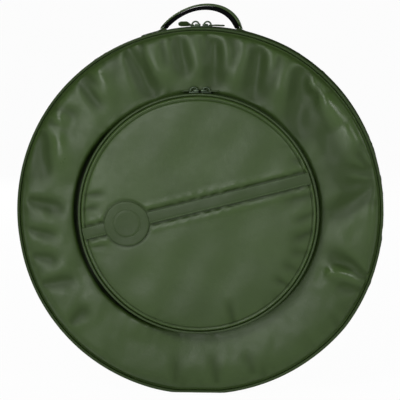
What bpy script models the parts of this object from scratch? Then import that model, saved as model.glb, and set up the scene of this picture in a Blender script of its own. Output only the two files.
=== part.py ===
"""A round cymbal bag that stands on its rim, modelled piece by piece.

Metres, +Z up, the front with its round pocket facing -Y. The bag's axis runs along Y through
(0, 0, CENTRE_Z), and the rim is pressed flat where it stands on z = 0. Turns round the bag's axis are
in degrees from the top, clockwise as seen from the front.
"""

from collections import namedtuple
from math import asin, cos, degrees, hypot, radians, sin, sqrt

import bmesh
import bpy
from mathutils import Matrix, Vector

# Gaps between pieces that touch
GAP = 0.0003
WELD = 0.00001

# The bag
BAG_RADIUS = 0.305
BODY_DEPTH = 0.066
REST_DEPTH = 0.003
CENTRE_Z = BAG_RADIUS - REST_DEPTH
SEGMENTS = 60
FULL_TURN = 360.0
HALF_TURN = FULL_TURN / 2
FACET_TURN = FULL_TURN / SEGMENTS

# Layers of the wall: coated leather, foam, lining
SKIN = 0.0015
FOAM = 0.006
GUSSET_FOAM = 0.005
LINING = 0.001

# Piping round both edges of the body
PIPING_RADIUS = 0.0025
PIPING_PROUD = 0.001
PIPING_SIDES = 8

# Main zip, round the rim to this turn each way from the top
ZIP_END_TURN = 132.0
ZIP_FROM_FRONT = 0.025
TAPE_WIDTH = 0.009
TAPE_THICKNESS = 0.0005
TAPE_RECESS = 0.001
COIL_WIDTH = 0.003
COIL_HEIGHT = 0.0015
END_TAB_TURN = 6.0
END_TAB_THICKNESS = 0.0018

# Pocket on the cover
POCKET_RADIUS = 0.1985
POCKET_DEPTH = 0.028
POCKET_ZIP_TURN = 120.0
POCKET_ZIP_DEPTH = 0.011
POCKET_SKIN = 0.0015
POCKET_FOAM = 0.004
POCKET_LINING = 0.0008
POCKET_PIPING_RADIUS = 0.002
POCKET_TAPE_WIDTH = 0.0065
POCKET_COIL_WIDTH = 0.0025

# Raised strip and round badge on the pocket
STRIP_WIDTH = 0.020
STRIP_THICKNESS = 0.0012
STRIP_RISE_TURN = 14.3
BADGE_RADIUS = 0.037
BADGE_THICKNESS = 0.0022
BADGE_LEFT_SHARE = 0.5895
BADGE_DROP_SHARE = 0.078

# Zip sliders and their leather pulls
SLIDER_LENGTH = 0.017
SLIDER_WIDTH = 0.011
SLIDER_PLATE = 0.0016
SLIDER_TAIL_SHARE = 0.72
SLIDER_CLEARANCE = 0.0008
LIP_THICKNESS = 0.0013
LIP_GAP = 0.0004
BAIL_RADIUS = 0.0058
BAIL_WIRE_RADIUS = 0.0009
BAIL_SIDES = 8
BAIL_STEPS = 12
PULL_LENGTH = 0.026
PULL_WIDTH = 0.009
PULL_THICKNESS = 0.002
PULL_HOLE = 0.0034
PULL_END_SHARE = 0.55
POCKET_PULL_LENGTH = 0.018
PARK_X = 0.002
PARK_SPACING = 0.0195

# Handle behind the zip
HANDLE_FROM_FRONT = 0.0505
HANDLE_RADIUS = 0.076
HANDLE_RISE = 0.042
HANDLE_WIDTH = 0.022
HANDLE_LEATHER = 0.004
HANDLE_WEBBING = 0.006
HANDLE_TIP_RADIUS = 0.0025
HANDLE_TAPER_RISE = 0.005
HANDLE_STEPS = 28
ANCHOR_TURN = 11.0
ANCHOR_SWEEP = 8.0
ANCHOR_FACETS = 2
ANCHOR_WIDTH = 0.020
ANCHOR_THICKNESS = 0.0025
ANCHOR_SEAT = 0.0005

# Padded dividers between the cymbals
DIVIDER_COUNT = 2
DIVIDER_THICKNESS = 0.003
DIVIDER_EDGE_GAP = 0.0107

# Sizes that follow from the ones above. The middle of the whole depth is at y = 0.
GUSSET_RADIUS = BAG_RADIUS - PIPING_PROUD
PANEL_RADIUS = BAG_RADIUS - 2 * PIPING_RADIUS - GAP
BADGE_PROUD = GAP + STRIP_THICKNESS + GAP + BADGE_THICKNESS
WHOLE_DEPTH = BODY_DEPTH + PIPING_PROUD + POCKET_DEPTH + BADGE_PROUD
FRONT_Y = POCKET_DEPTH + BADGE_PROUD - WHOLE_DEPTH / 2
BACK_Y = FRONT_Y + BODY_DEPTH
WALL = SKIN + GAP + FOAM + GAP + LINING
PIPING_DEPTH = 2 * PIPING_RADIUS - PIPING_PROUD
ZIP_Y = FRONT_Y + ZIP_FROM_FRONT
HALF_GAP = GAP / 2
FRONT_STRIP_END = ZIP_Y - HALF_GAP - TAPE_WIDTH - GAP
REAR_STRIP_START = ZIP_Y + HALF_GAP + TAPE_WIDTH + GAP
INNER_FRONT = FRONT_Y + WALL + GAP
INNER_BACK = BACK_Y - WALL - GAP
SKIN_INNER = GUSSET_RADIUS - SKIN
FOAM_OUTER = SKIN_INNER - GAP
FOAM_INNER = FOAM_OUTER - GUSSET_FOAM
LINING_OUTER = FOAM_INNER - GAP
LINING_INNER = LINING_OUTER - LINING
TAPE_TOP = GUSSET_RADIUS - TAPE_RECESS
CHORD_Z = BAG_RADIUS * cos(radians(ZIP_END_TURN))
COVER_HINGE_Y = FRONT_Y - PIPING_PROUD
POCKET_FRONT_Y = FRONT_Y - POCKET_DEPTH
POCKET_CHORD_Z = POCKET_RADIUS * cos(radians(POCKET_ZIP_TURN))
POCKET_ZIP_Y = FRONT_Y - POCKET_ZIP_DEPTH
POCKET_WALL = POCKET_RADIUS - PIPING_PROUD
POCKET_TAPE_TOP = POCKET_WALL - TAPE_RECESS
POCKET_PANEL_RADIUS = POCKET_RADIUS - 2 * POCKET_PIPING_RADIUS - GAP
POCKET_PIPING_END = POCKET_FRONT_Y + 2 * POCKET_PIPING_RADIUS - PIPING_PROUD
POCKET_HINGE_Y = POCKET_FRONT_Y - PIPING_PROUD
DIVIDER_SPACE = (INNER_BACK - INNER_FRONT - DIVIDER_COUNT * DIVIDER_THICKNESS) / (DIVIDER_COUNT + 1)
DIVIDER_RADIUS = LINING_INNER - DIVIDER_EDGE_GAP
HANDLE_Y = FRONT_Y + HANDLE_FROM_FRONT
HANDLE_CENTRE_Z = GUSSET_RADIUS + HANDLE_RISE - HANDLE_RADIUS
ANCHOR_TOP = GUSSET_RADIUS + ANCHOR_SEAT + ANCHOR_THICKNESS
HANDLE_BASE_Z = ANCHOR_TOP * cos(radians(ANCHOR_TURN)) + ANCHOR_SEAT
HANDLE_HINGE_Z = HANDLE_BASE_Z + HANDLE_TIP_RADIUS

PANEL_LAYERS = (SKIN, FOAM, LINING)
POCKET_LAYERS = (POCKET_SKIN, POCKET_FOAM, POCKET_LINING)

# What a wall is made of, from outside to inside
LAYER_FINISHES = (("skin", "green_leather"), ("foam", "grey_foam"), ("lining", "black_lining"))

# Colour, roughness and metallic value of each finish
FINISHES = {
    "green_leather": ((0.065, 0.103, 0.046, 1.0), 0.42, 0.0),
    "green_piping": ((0.075, 0.118, 0.052, 1.0), 0.38, 0.0),
    "black_webbing": ((0.006, 0.007, 0.007, 1.0), 0.75, 0.0),
    "black_lining": ((0.010, 0.011, 0.011, 1.0), 0.80, 0.0),
    "grey_foam": ((0.090, 0.090, 0.095, 1.0), 0.90, 0.0),
    "green_tape": ((0.030, 0.048, 0.022, 1.0), 0.70, 0.0),
    "dark_coil": ((0.020, 0.034, 0.016, 1.0), 0.45, 0.0),
    "dark_metal": ((0.035, 0.055, 0.028, 1.0), 0.35, 0.8),
}

BAG = bpy.data.collections.new("cymbal_bag")
CUTTERS = bpy.data.collections.new("cutters")


def clear_scene():
    """Remove what the file opened with and link the two collections."""
    for item in list(bpy.data.objects):
        bpy.data.objects.remove(item, do_unlink=True)
    bpy.context.scene.collection.children.link(BAG)
    bpy.context.scene.collection.children.link(CUTTERS)


def finish_material(finish, name):
    """A material of its own for one piece."""
    colour, roughness, metallic = FINISHES[finish]
    material = bpy.data.materials.new(name)
    material.use_nodes = True
    shader = material.node_tree.nodes["Principled BSDF"]
    shader.inputs["Base Color"].default_value = colour
    shader.inputs["Roughness"].default_value = roughness
    shader.inputs["Metallic"].default_value = metallic
    material.diffuse_color = colour
    return material


def joint_empty(name, x, y, z):
    """An empty on a joint's axis, given about the bag's centre, which carries what moves on it."""
    empty = bpy.data.objects.new(name, None)
    empty.location = (x, y, CENTRE_Z + z)
    BAG.objects.link(empty)
    return empty


def carry(joint, carrier):
    """Hang a joint's empty, with its pieces, under the empty that carries it."""
    joint.parent = carrier
    joint.location -= carrier.location


def add_piece(name, finish, bm, joint=None):
    """Make the bmesh, given about the bag's centre, one object, carried by its joint's empty."""
    bmesh.ops.recalc_face_normals(bm, faces=bm.faces)
    origin = Vector((0.0, 0.0, CENTRE_Z))
    offset = joint.location - origin if joint else Vector()
    bmesh.ops.translate(bm, verts=bm.verts, vec=-offset)
    mesh = bpy.data.meshes.new(name)
    bm.to_mesh(mesh)
    bm.free()
    mesh.shade_smooth()
    mesh.set_sharp_from_angle(angle=radians(30.0))
    piece = bpy.data.objects.new(name, mesh)
    if joint:
        piece.parent = joint
    else:
        piece.location = origin
    mesh.materials.append(finish_material(finish, name))
    BAG.objects.link(piece)
    return piece


# Shapes

def sweep(profile, start, end, steps=None):
    """Turn a closed outline of (radius, y) points round the Y axis from one turn to another."""
    bm = bmesh.new()
    first = Matrix.Rotation(radians(start), 4, "Y")
    corners = [bm.verts.new(first @ Vector((0.0, y, radius))) for radius, y in profile]
    whole = end - start >= FULL_TURN
    if whole:
        ring = [bm.edges.new((a, b)) for a, b in zip(corners, corners[1:] + corners[:1])]
        shape = corners + ring
    else:
        shape = [bm.faces.new(corners)]
    bmesh.ops.spin(bm, geom=shape, cent=(0.0, 0.0, 0.0), axis=(0.0, 1.0, 0.0), dvec=(0.0, 0.0, 0.0),
                   angle=radians(end - start), steps=steps or round((end - start) / FACET_TURN),
                   use_merge=whole, use_duplicate=False)
    bmesh.ops.remove_doubles(bm, verts=bm.verts, dist=WELD)
    close_holes(bm)
    return bm


def close_holes(bm):
    """Fill every open edge loop."""
    rim = [edge for edge in bm.edges if edge.is_boundary]
    if rim:
        bmesh.ops.holes_fill(bm, edges=rim, sides=0)


def box_section(inner, outer, front, back):
    """Outline of a band between two radii and two depths."""
    return [(inner, front), (outer, front), (outer, back), (inner, back)]


def round_section(radius, y, wire_radius, sides):
    """Outline of a cord whose middle runs at a radius and a depth."""
    turns = [radians(FULL_TURN * side / sides + HALF_TURN / sides) for side in range(sides)]
    return [(radius + wire_radius * cos(turn), y + wire_radius * sin(turn)) for turn in turns]


def disc(radius, front, back):
    """A flat round slab, square to the bag's axis."""
    bm = bmesh.new()
    place = Matrix.Translation((0.0, (front + back) / 2, 0.0)) @ Matrix.Rotation(radians(90.0), 4, "X")
    bmesh.ops.create_cone(bm, cap_ends=True, segments=SEGMENTS, radius1=radius, radius2=radius,
                          depth=back - front, matrix=place)
    return bm


def trim(bm, point, away):
    """Cut off what lies beyond a plane and close the cut."""
    bmesh.ops.bisect_plane(bm, geom=bm.verts[:] + bm.edges[:] + bm.faces[:], dist=WELD / 10,
                           plane_co=point, plane_no=away, clear_outer=True)
    close_holes(bm)
    return bm


def above(bm, z):
    """Keep what is above a chord."""
    return trim(bm, (0.0, 0.0, z + HALF_GAP), (0.0, 0.0, -1.0))


def below(bm, z):
    """Keep what is below a chord."""
    return trim(bm, (0.0, 0.0, z - HALF_GAP), (0.0, 0.0, 1.0))


def press_flat(bm):
    """Press the rim flat where it stands, each layer by its own depth under the gusset's surface."""
    for vert in bm.verts:
        depth = max(0.0, GUSSET_RADIUS - hypot(vert.co.x, vert.co.z))
        vert.co.z = max(vert.co.z, depth - CENTRE_Z)
    return bm


def arc(profile, start, end):
    """A band between two turns, drawn back by half a gap at each end."""
    inset = degrees(HALF_GAP / min(radius for radius, _ in profile))
    bm = sweep(profile, start, end)
    for turn, shift in ((start, inset), (end, -inset)):
        across = Vector((cos(radians(turn)), 0.0, -sin(radians(turn))))
        along = Vector((sin(radians(turn)), 0.0, cos(radians(turn))))
        cap = [vert for vert in bm.verts if abs(vert.co.dot(across)) < WELD and vert.co.dot(along) > 0.0]
        bmesh.ops.rotate(bm, verts=cap, matrix=Matrix.Rotation(radians(shift), 3, "Y"))
    return bm


# Body

def build_panel(name, radius, face, inward, layers, cut=None, chord=0.0, joint=None):
    """Skin, foam and lining of one flat panel, from its face inward, cut by above or below at a chord."""
    for (layer, finish), thickness in zip(LAYER_FINISHES, layers):
        far = face + inward * thickness
        bm = disc(radius, min(face, far), max(face, far))
        if cut:
            cut(bm, chord)
        add_piece(f"{name}_{layer}", finish, press_flat(bm), joint)
        face = far + inward * GAP


def build_gusset(name, start, end, skin_span, inner_span, joint=None):
    """Skin, foam and lining of one stretch of the rim's wall."""
    radii = ((SKIN_INNER, GUSSET_RADIUS), (FOAM_INNER, FOAM_OUTER), (LINING_INNER, LINING_OUTER))
    spans = (skin_span, inner_span, inner_span)
    for (layer, finish), (inner, outer), span in zip(LAYER_FINISHES, radii, spans):
        profile = box_section(inner, outer, *span)
        whole = end - start >= FULL_TURN
        bm = sweep(profile, start, end) if whole else arc(profile, start, end)
        add_piece(f"{name}_{layer}", finish, press_flat(bm), joint)


def build_body():
    """Back panel, rear and lower gusset, the fixed part of the front, and the piping they carry."""
    build_panel("back_panel", PANEL_RADIUS, BACK_Y, -1, PANEL_LAYERS)
    back_piping_y = BACK_Y + PIPING_PROUD - PIPING_RADIUS
    front_piping_y = FRONT_Y - PIPING_PROUD + PIPING_RADIUS
    piping_centre = BAG_RADIUS - PIPING_RADIUS
    back_profile = round_section(piping_centre, back_piping_y, PIPING_RADIUS, PIPING_SIDES)
    add_piece("back_piping", "green_piping", press_flat(sweep(back_profile, 0.0, FULL_TURN)))
    strip_end = BACK_Y - PIPING_DEPTH - GAP
    build_gusset("rear_gusset", 0.0, FULL_TURN, (REAR_STRIP_START, strip_end),
                 (ZIP_Y + HALF_GAP, INNER_BACK))
    lower_start = ZIP_END_TURN
    lower_end = FULL_TURN - ZIP_END_TURN
    build_gusset("lower_gusset", lower_start, lower_end,
                 (FRONT_Y + PIPING_DEPTH + GAP, REAR_STRIP_START - GAP),
                 (INNER_FRONT, ZIP_Y - HALF_GAP))
    build_panel("front_lower", PANEL_RADIUS, FRONT_Y, 1, PANEL_LAYERS, below, CHORD_Z)
    front_profile = round_section(piping_centre, front_piping_y, PIPING_RADIUS, PIPING_SIDES)
    add_piece("front_piping_lower", "green_piping",
              press_flat(arc(front_profile, lower_start, lower_end)))


# Zips

ZipLine = namedtuple("ZipLine", "name y tape_top tape_width coil_width end_turn front_joint rear_joint")


def build_zip(zip_line):
    """Tape and coil of the front half and of the rear half of a zip."""
    for half, side, joint in (("front", -1, zip_line.front_joint), ("rear", 1, zip_line.rear_joint)):
        near = zip_line.y + side * HALF_GAP
        coil_base = zip_line.tape_top + GAP
        for piece, finish, bottom, top, width in (
                ("tape", "green_tape", zip_line.tape_top - TAPE_THICKNESS, zip_line.tape_top,
                 zip_line.tape_width),
                ("coil", "dark_coil", coil_base, coil_base + COIL_HEIGHT, zip_line.coil_width)):
            far = near + side * width
            profile = box_section(bottom, top, min(near, far), max(near, far))
            band = arc(profile, -zip_line.end_turn, zip_line.end_turn)
            add_piece(f"{zip_line.name}_zip_{half}_{piece}", finish, band, joint)


def build_end_tab(name, side):
    """Leather patch sewn over the lower end of the main zip."""
    seat = GUSSET_RADIUS + GAP
    width = 2 * TAPE_WIDTH
    profile = box_section(seat, seat + END_TAB_THICKNESS, ZIP_Y - width / 2, ZIP_Y + width / 2)
    turns = sorted((side * ZIP_END_TURN, side * (ZIP_END_TURN + END_TAB_TURN)))
    add_piece(name, "green_leather", arc(profile, *turns))


def slider_base(zip_line, plate_bottom):
    """Plate over both coils with a lip behind the rear one, as it stands at the top of the bag."""
    lip_inner = zip_line.y + HALF_GAP + zip_line.coil_width + LIP_GAP
    rear = lip_inner + LIP_THICKNESS
    front = rear - SLIDER_WIDTH
    lip_bottom = zip_line.tape_top + LIP_GAP
    plate_top = plate_bottom + SLIDER_PLATE
    outline = [(plate_bottom, front), (plate_bottom, lip_inner), (lip_bottom, lip_inner),
               (lip_bottom, rear), (plate_top, rear), (plate_top, front)]
    bm = bmesh.new()
    face = bm.faces.new([bm.verts.new((-SLIDER_LENGTH / 2, y, z)) for z, y in outline])
    tail = thicken(bm, face, Vector((SLIDER_LENGTH, 0.0, 0.0)))
    for vert in tail:
        if vert.co.y < zip_line.y:
            vert.co.y = zip_line.y + (vert.co.y - zip_line.y) * SLIDER_TAIL_SHARE
    return bm


def thicken(bm, face, shift):
    """Extrude a face into a solid and return the corners of its far side."""
    grown = bmesh.ops.extrude_face_region(bm, geom=[face], use_keep_orig=True)
    far = [item for item in grown["geom"] if isinstance(item, bmesh.types.BMVert)]
    bmesh.ops.translate(bm, verts=far, vec=shift)
    return far


def join_or_cut(piece, other, operation):
    """Join the piece with the other object, or cut it by it, and set the other aside as a cutter."""
    BAG.objects.unlink(other)
    CUTTERS.objects.link(other)
    other.hide_render = True
    other.display_type = "WIRE"
    modifier = piece.modifiers.new(other.name, "BOOLEAN")
    modifier.operation = operation
    modifier.object = other


def build_slider(name, zip_line, away, joint):
    """A slider with its arched bail beside the top of the zip. Returns the bail's frame."""
    coil_top = zip_line.tape_top + GAP + COIL_HEIGHT
    plate_bottom = coil_top + SLIDER_CLEARANCE
    turn = (PARK_X + away * PARK_SPACING / 2) / coil_top
    place = Matrix.Rotation(turn, 4, "Y")
    base = slider_base(zip_line, plate_bottom)
    if away < 0:
        bmesh.ops.scale(base, verts=base.verts, vec=(-1.0, 1.0, 1.0))
    bmesh.ops.transform(base, matrix=place, verts=base.verts)
    lift = PULL_THICKNESS / 2 + GAP
    frame = place @ Matrix.Translation((0.0, zip_line.y, plate_bottom + SLIDER_PLATE + lift))
    sunk = degrees(asin((lift + SLIDER_PLATE / 2) / BAIL_RADIUS))
    reach = FULL_TURN / 4 + sunk
    wire = round_section(BAIL_RADIUS, 0.0, BAIL_WIRE_RADIUS, BAIL_SIDES)
    bail = sweep(wire, -reach, reach, BAIL_STEPS)
    bmesh.ops.transform(bail, matrix=frame, verts=bail.verts)
    slider = add_piece(name, "dark_metal", base, joint)
    join_or_cut(slider, add_piece(f"{name}_bail", "dark_metal", bail, joint), "UNION")
    return frame


def build_pull(name, frame, away, length, joint):
    """Flat leather pull, lying away from the top, whose slot rides on the bail's wire."""
    inner = BAIL_RADIUS - PULL_HOLE
    outer = inner + length
    half = PULL_WIDTH / 2
    tip = half * PULL_END_SHARE
    shoulder = outer - length * PULL_END_SHARE / 2
    outline = [(inner, -half), (shoulder, -half), (outer, -tip), (outer, tip), (shoulder, half),
               (inner, half)]
    slab = bmesh.new()
    face = slab.faces.new([slab.verts.new((away * x, y, -PULL_THICKNESS / 2)) for x, y in outline])
    thicken(slab, face, Vector((0.0, 0.0, PULL_THICKNESS)))
    bmesh.ops.transform(slab, matrix=frame, verts=slab.verts)
    slot = bmesh.new()
    bmesh.ops.create_cube(slot, size=1.0)
    bmesh.ops.scale(slot, verts=slot.verts, vec=(PULL_HOLE, PULL_HOLE, 2 * PULL_THICKNESS))
    slot_frame = frame @ Matrix.Translation((away * BAIL_RADIUS, 0.0, 0.0))
    bmesh.ops.transform(slot, matrix=slot_frame, verts=slot.verts)
    pull = add_piece(name, "green_leather", slab, joint)
    join_or_cut(pull, add_piece(f"{name}_slot", "green_leather", slot, joint), "DIFFERENCE")


def build_sliders(zip_line, pull_length):
    """Two sliders nose to nose at the top of a zip, each with its pull."""
    for side, away in (("left", -1.0), ("right", 1.0)):
        name = f"{zip_line.name}_slider_{side}"
        slider_joint = joint_empty(f"{name}_axis", 0.0, zip_line.y, 0.0)
        frame = build_slider(name, zip_line, away, slider_joint)
        pull = f"{zip_line.name}_pull_{side}"
        pull_joint = joint_empty(f"{pull}_pivot", *frame.translation)
        build_pull(pull, frame, away, pull_length, pull_joint)
        carry(pull_joint, slider_joint)
        if zip_line.rear_joint:
            carry(slider_joint, zip_line.rear_joint)


# Cover, pocket and its flap

def build_cover(joint):
    """The part of the front that the main zip frees."""
    build_panel("cover", PANEL_RADIUS, FRONT_Y, 1, PANEL_LAYERS, above, CHORD_Z, joint)
    start = -ZIP_END_TURN
    end = ZIP_END_TURN
    build_gusset("front_gusset", start, end, (FRONT_Y + PIPING_DEPTH + GAP, FRONT_STRIP_END),
                 (INNER_FRONT, ZIP_Y - HALF_GAP), joint)
    profile = round_section(BAG_RADIUS - PIPING_RADIUS, FRONT_Y - PIPING_PROUD + PIPING_RADIUS,
                            PIPING_RADIUS, PIPING_SIDES)
    add_piece("front_piping_upper", "green_piping", arc(profile, start, end), joint)


def build_pocket(cover_joint, flap_joint):
    """Pocket wall, its fixed lower part, and the flap that its zip frees."""
    start = -POCKET_ZIP_TURN
    end = POCKET_ZIP_TURN
    inner = POCKET_WALL - POCKET_SKIN
    base_y = FRONT_Y - GAP
    rear_strip = box_section(inner, POCKET_WALL, POCKET_ZIP_Y + HALF_GAP + POCKET_TAPE_WIDTH + GAP, base_y)
    add_piece("pocket_wall_rear", "green_leather", sweep(rear_strip, 0.0, FULL_TURN), cover_joint)
    front_strip = box_section(inner, POCKET_WALL, POCKET_PIPING_END + GAP,
                              POCKET_ZIP_Y - HALF_GAP - POCKET_TAPE_WIDTH - GAP)
    add_piece("pocket_wall_front", "green_leather", arc(front_strip, start, end), flap_joint)
    lower_strip = box_section(inner, POCKET_WALL, POCKET_PIPING_END + GAP,
                              POCKET_ZIP_Y + HALF_GAP + POCKET_TAPE_WIDTH)
    add_piece("pocket_wall_lower", "green_leather", arc(lower_strip, end, FULL_TURN + start), cover_joint)
    piping = round_section(POCKET_RADIUS - POCKET_PIPING_RADIUS,
                           POCKET_FRONT_Y - PIPING_PROUD + POCKET_PIPING_RADIUS,
                           POCKET_PIPING_RADIUS, PIPING_SIDES)
    add_piece("pocket_piping_upper", "green_piping", arc(piping, start, end), flap_joint)
    add_piece("pocket_piping_lower", "green_piping", arc(piping, end, FULL_TURN + start), cover_joint)
    build_panel("pocket_flap", POCKET_PANEL_RADIUS, POCKET_FRONT_Y, 1, POCKET_LAYERS, above,
                POCKET_CHORD_Z, flap_joint)
    build_panel("pocket_lower", POCKET_PANEL_RADIUS, POCKET_FRONT_Y, 1, POCKET_LAYERS, below,
                POCKET_CHORD_Z, cover_joint)


def build_badge(flap_joint):
    """Slanting raised strip across the pocket, and the round leather badge sewn over its middle line."""
    strip_back = POCKET_FRONT_Y - GAP
    strip_front = strip_back - STRIP_THICKNESS
    rise = radians(STRIP_RISE_TURN)
    across = Vector((-sin(rise), 0.0, cos(rise)))
    badge_middle = Vector((-BADGE_LEFT_SHARE, 0.0, -BADGE_DROP_SHARE)) * POCKET_RADIUS
    lift = across.dot(badge_middle)
    reach = sqrt((POCKET_PANEL_RADIUS - GAP) ** 2 - (abs(lift) + STRIP_WIDTH / 2) ** 2)
    strip = bmesh.new()
    bmesh.ops.create_cube(strip, size=1.0)
    bmesh.ops.scale(strip, verts=strip.verts, vec=(2 * reach, STRIP_THICKNESS, STRIP_WIDTH))
    middle = across * lift + Vector((0.0, (strip_front + strip_back) / 2, 0.0))
    place = Matrix.Translation(middle) @ Matrix.Rotation(-rise, 4, "Y")
    bmesh.ops.transform(strip, matrix=place, verts=strip.verts)
    add_piece("pocket_strip", "green_leather", strip, flap_joint)
    badge_back = strip_front - GAP
    badge = disc(BADGE_RADIUS, badge_back - BADGE_THICKNESS, badge_back)
    bmesh.ops.translate(badge, verts=badge.verts, vec=badge_middle)
    add_piece("badge", "green_leather", badge, flap_joint)


# Handle

def handle_half_width(height):
    """Half the handle's width at a height above its hinge: a round tip that widens to the strap."""
    if height <= 0.0:
        return sqrt(max(HANDLE_TIP_RADIUS ** 2 - height ** 2, (HANDLE_TIP_RADIUS / 2) ** 2))
    widening = (HANDLE_WIDTH / 2 - HANDLE_TIP_RADIUS) / HANDLE_TAPER_RISE
    return min(HANDLE_WIDTH / 2, HANDLE_TIP_RADIUS + widening * height)


def build_handle(joint):
    """Arched handle of two layers, and the patches that its ends are sewn under."""
    webbing_outer = HANDLE_RADIUS - HANDLE_LEATHER - GAP
    for name, finish, inner, outer in (
            ("handle_leather", "green_leather", HANDLE_RADIUS - HANDLE_LEATHER, HANDLE_RADIUS),
            ("handle_webbing", "black_webbing", webbing_outer - HANDLE_WEBBING, webbing_outer)):
        profile = box_section(inner, outer, HANDLE_Y - HANDLE_WIDTH / 2, HANDLE_Y + HANDLE_WIDTH / 2)
        quarter = FULL_TURN / 4
        bm = sweep(profile, -quarter, quarter, HANDLE_STEPS)
        bmesh.ops.translate(bm, verts=bm.verts, vec=(0.0, 0.0, HANDLE_CENTRE_Z))
        trim(bm, (0.0, 0.0, HANDLE_BASE_Z), (0.0, 0.0, -1.0))
        for height in (HANDLE_HINGE_Z, HANDLE_HINGE_Z + HANDLE_TAPER_RISE):
            bmesh.ops.bisect_plane(bm, geom=bm.verts[:] + bm.edges[:] + bm.faces[:], dist=WELD / 10,
                                   plane_co=(0.0, 0.0, height), plane_no=(0.0, 0.0, 1.0))
        for vert in bm.verts:
            half = handle_half_width(vert.co.z - HANDLE_HINGE_Z)
            vert.co.y = HANDLE_Y + (half if vert.co.y > HANDLE_Y else -half)
        add_piece(name, finish, bm, joint)
    seat = GUSSET_RADIUS + ANCHOR_SEAT
    patch = box_section(seat, ANCHOR_TOP, HANDLE_Y - ANCHOR_WIDTH / 2, HANDLE_Y + ANCHOR_WIDTH / 2)
    for name, start in (("handle_anchor_right", ANCHOR_TURN),
                        ("handle_anchor_left", -ANCHOR_TURN - ANCHOR_SWEEP)):
        add_piece(name, "green_leather", sweep(patch, start, start + ANCHOR_SWEEP, ANCHOR_FACETS))


# Dividers

def divider_front(index):
    """Depth of a divider's front face, counted from the front."""
    return INNER_FRONT + (index + 1) * DIVIDER_SPACE + index * DIVIDER_THICKNESS


def build_dividers():
    """Padded discs between the cymbals: a lower part sewn into the gusset and a leaf that folds forward."""
    for index, place in enumerate(("front", "rear")):
        front = divider_front(index)
        back = front + DIVIDER_THICKNESS
        foot = below(disc(LINING_INNER - GAP, front, back), CHORD_Z)
        add_piece(f"divider_{place}_foot", "black_lining", press_flat(foot))
        joint = joint_empty(f"divider_{place}_fold", 0.0, front, CHORD_Z)
        leaf = above(disc(DIVIDER_RADIUS, front, back), CHORD_Z)
        add_piece(f"divider_{place}_leaf", "black_lining", leaf, joint)


def main():
    clear_scene()
    cover_joint = joint_empty("cover_hinge", 0.0, COVER_HINGE_Y, CHORD_Z)
    flap_joint = joint_empty("pocket_flap_hinge", 0.0, POCKET_HINGE_Y, POCKET_CHORD_Z)
    handle_joint = joint_empty("handle_hinge", 0.0, HANDLE_Y, HANDLE_HINGE_Z)
    main_zip = ZipLine("main", ZIP_Y, TAPE_TOP, TAPE_WIDTH, COIL_WIDTH, ZIP_END_TURN, cover_joint, None)
    pocket_zip = ZipLine("pocket", POCKET_ZIP_Y, POCKET_TAPE_TOP, POCKET_TAPE_WIDTH, POCKET_COIL_WIDTH,
                         POCKET_ZIP_TURN, flap_joint, cover_joint)
    build_body()
    build_end_tab("zip_end_right", 1)
    build_end_tab("zip_end_left", -1)
    build_cover(cover_joint)
    build_pocket(cover_joint, flap_joint)
    build_badge(flap_joint)
    for zip_line, pull_length in ((main_zip, PULL_LENGTH), (pocket_zip, POCKET_PULL_LENGTH)):
        build_zip(zip_line)
        build_sliders(zip_line, pull_length)
    build_handle(handle_joint)
    build_dividers()
    carry(flap_joint, cover_joint)


main()
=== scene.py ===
"""Looks of a round padded cymbal bag of dark green coated leather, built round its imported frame.

Metres, +Z up, the front with its round pocket facing -Y. Turns round the bag's axis are in degrees from
the top, clockwise as seen from the front.
"""

import logging
from dataclasses import dataclass
from enum import Enum
from math import cos, degrees, pi, radians, sin, sqrt
from typing import Callable, Sequence

import bmesh
import bpy
import numpy as np
from mathutils import Matrix, Vector


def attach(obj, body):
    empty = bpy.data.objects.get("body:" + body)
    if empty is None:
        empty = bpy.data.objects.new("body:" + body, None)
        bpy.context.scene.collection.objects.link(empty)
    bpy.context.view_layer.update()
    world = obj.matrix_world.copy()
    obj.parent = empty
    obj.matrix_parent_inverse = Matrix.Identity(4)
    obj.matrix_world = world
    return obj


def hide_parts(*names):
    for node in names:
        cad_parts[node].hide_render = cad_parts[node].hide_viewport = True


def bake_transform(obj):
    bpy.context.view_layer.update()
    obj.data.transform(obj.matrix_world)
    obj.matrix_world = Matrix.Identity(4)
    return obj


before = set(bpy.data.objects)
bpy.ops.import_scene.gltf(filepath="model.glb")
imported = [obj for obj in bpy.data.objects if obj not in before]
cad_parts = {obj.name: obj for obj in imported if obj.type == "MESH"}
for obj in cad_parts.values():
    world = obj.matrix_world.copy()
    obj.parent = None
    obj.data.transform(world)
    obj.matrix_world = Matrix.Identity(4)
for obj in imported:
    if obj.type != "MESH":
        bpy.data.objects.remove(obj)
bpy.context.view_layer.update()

LOG = logging.getLogger("cymbal_bag")
FULL_TURN = 360.0
WEDGE_STEPS = 20
MILLIMETRES = 1000.0
RIDGE_PLACE, RIDGE_SPREAD, RIDGE_HEIGHT = 2.1, 0.9, 0.15
VALLEY_SLOPE = 1.5
CREASE_UNIT = 0.0015

Pair = tuple[float, float]
Triple = tuple[float, float, float]
Fold = tuple[str, str, float, float]
Outline = Sequence[tuple[float, float, int]]
Points = np.ndarray
Mover = Callable[[Points], Points]


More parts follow.
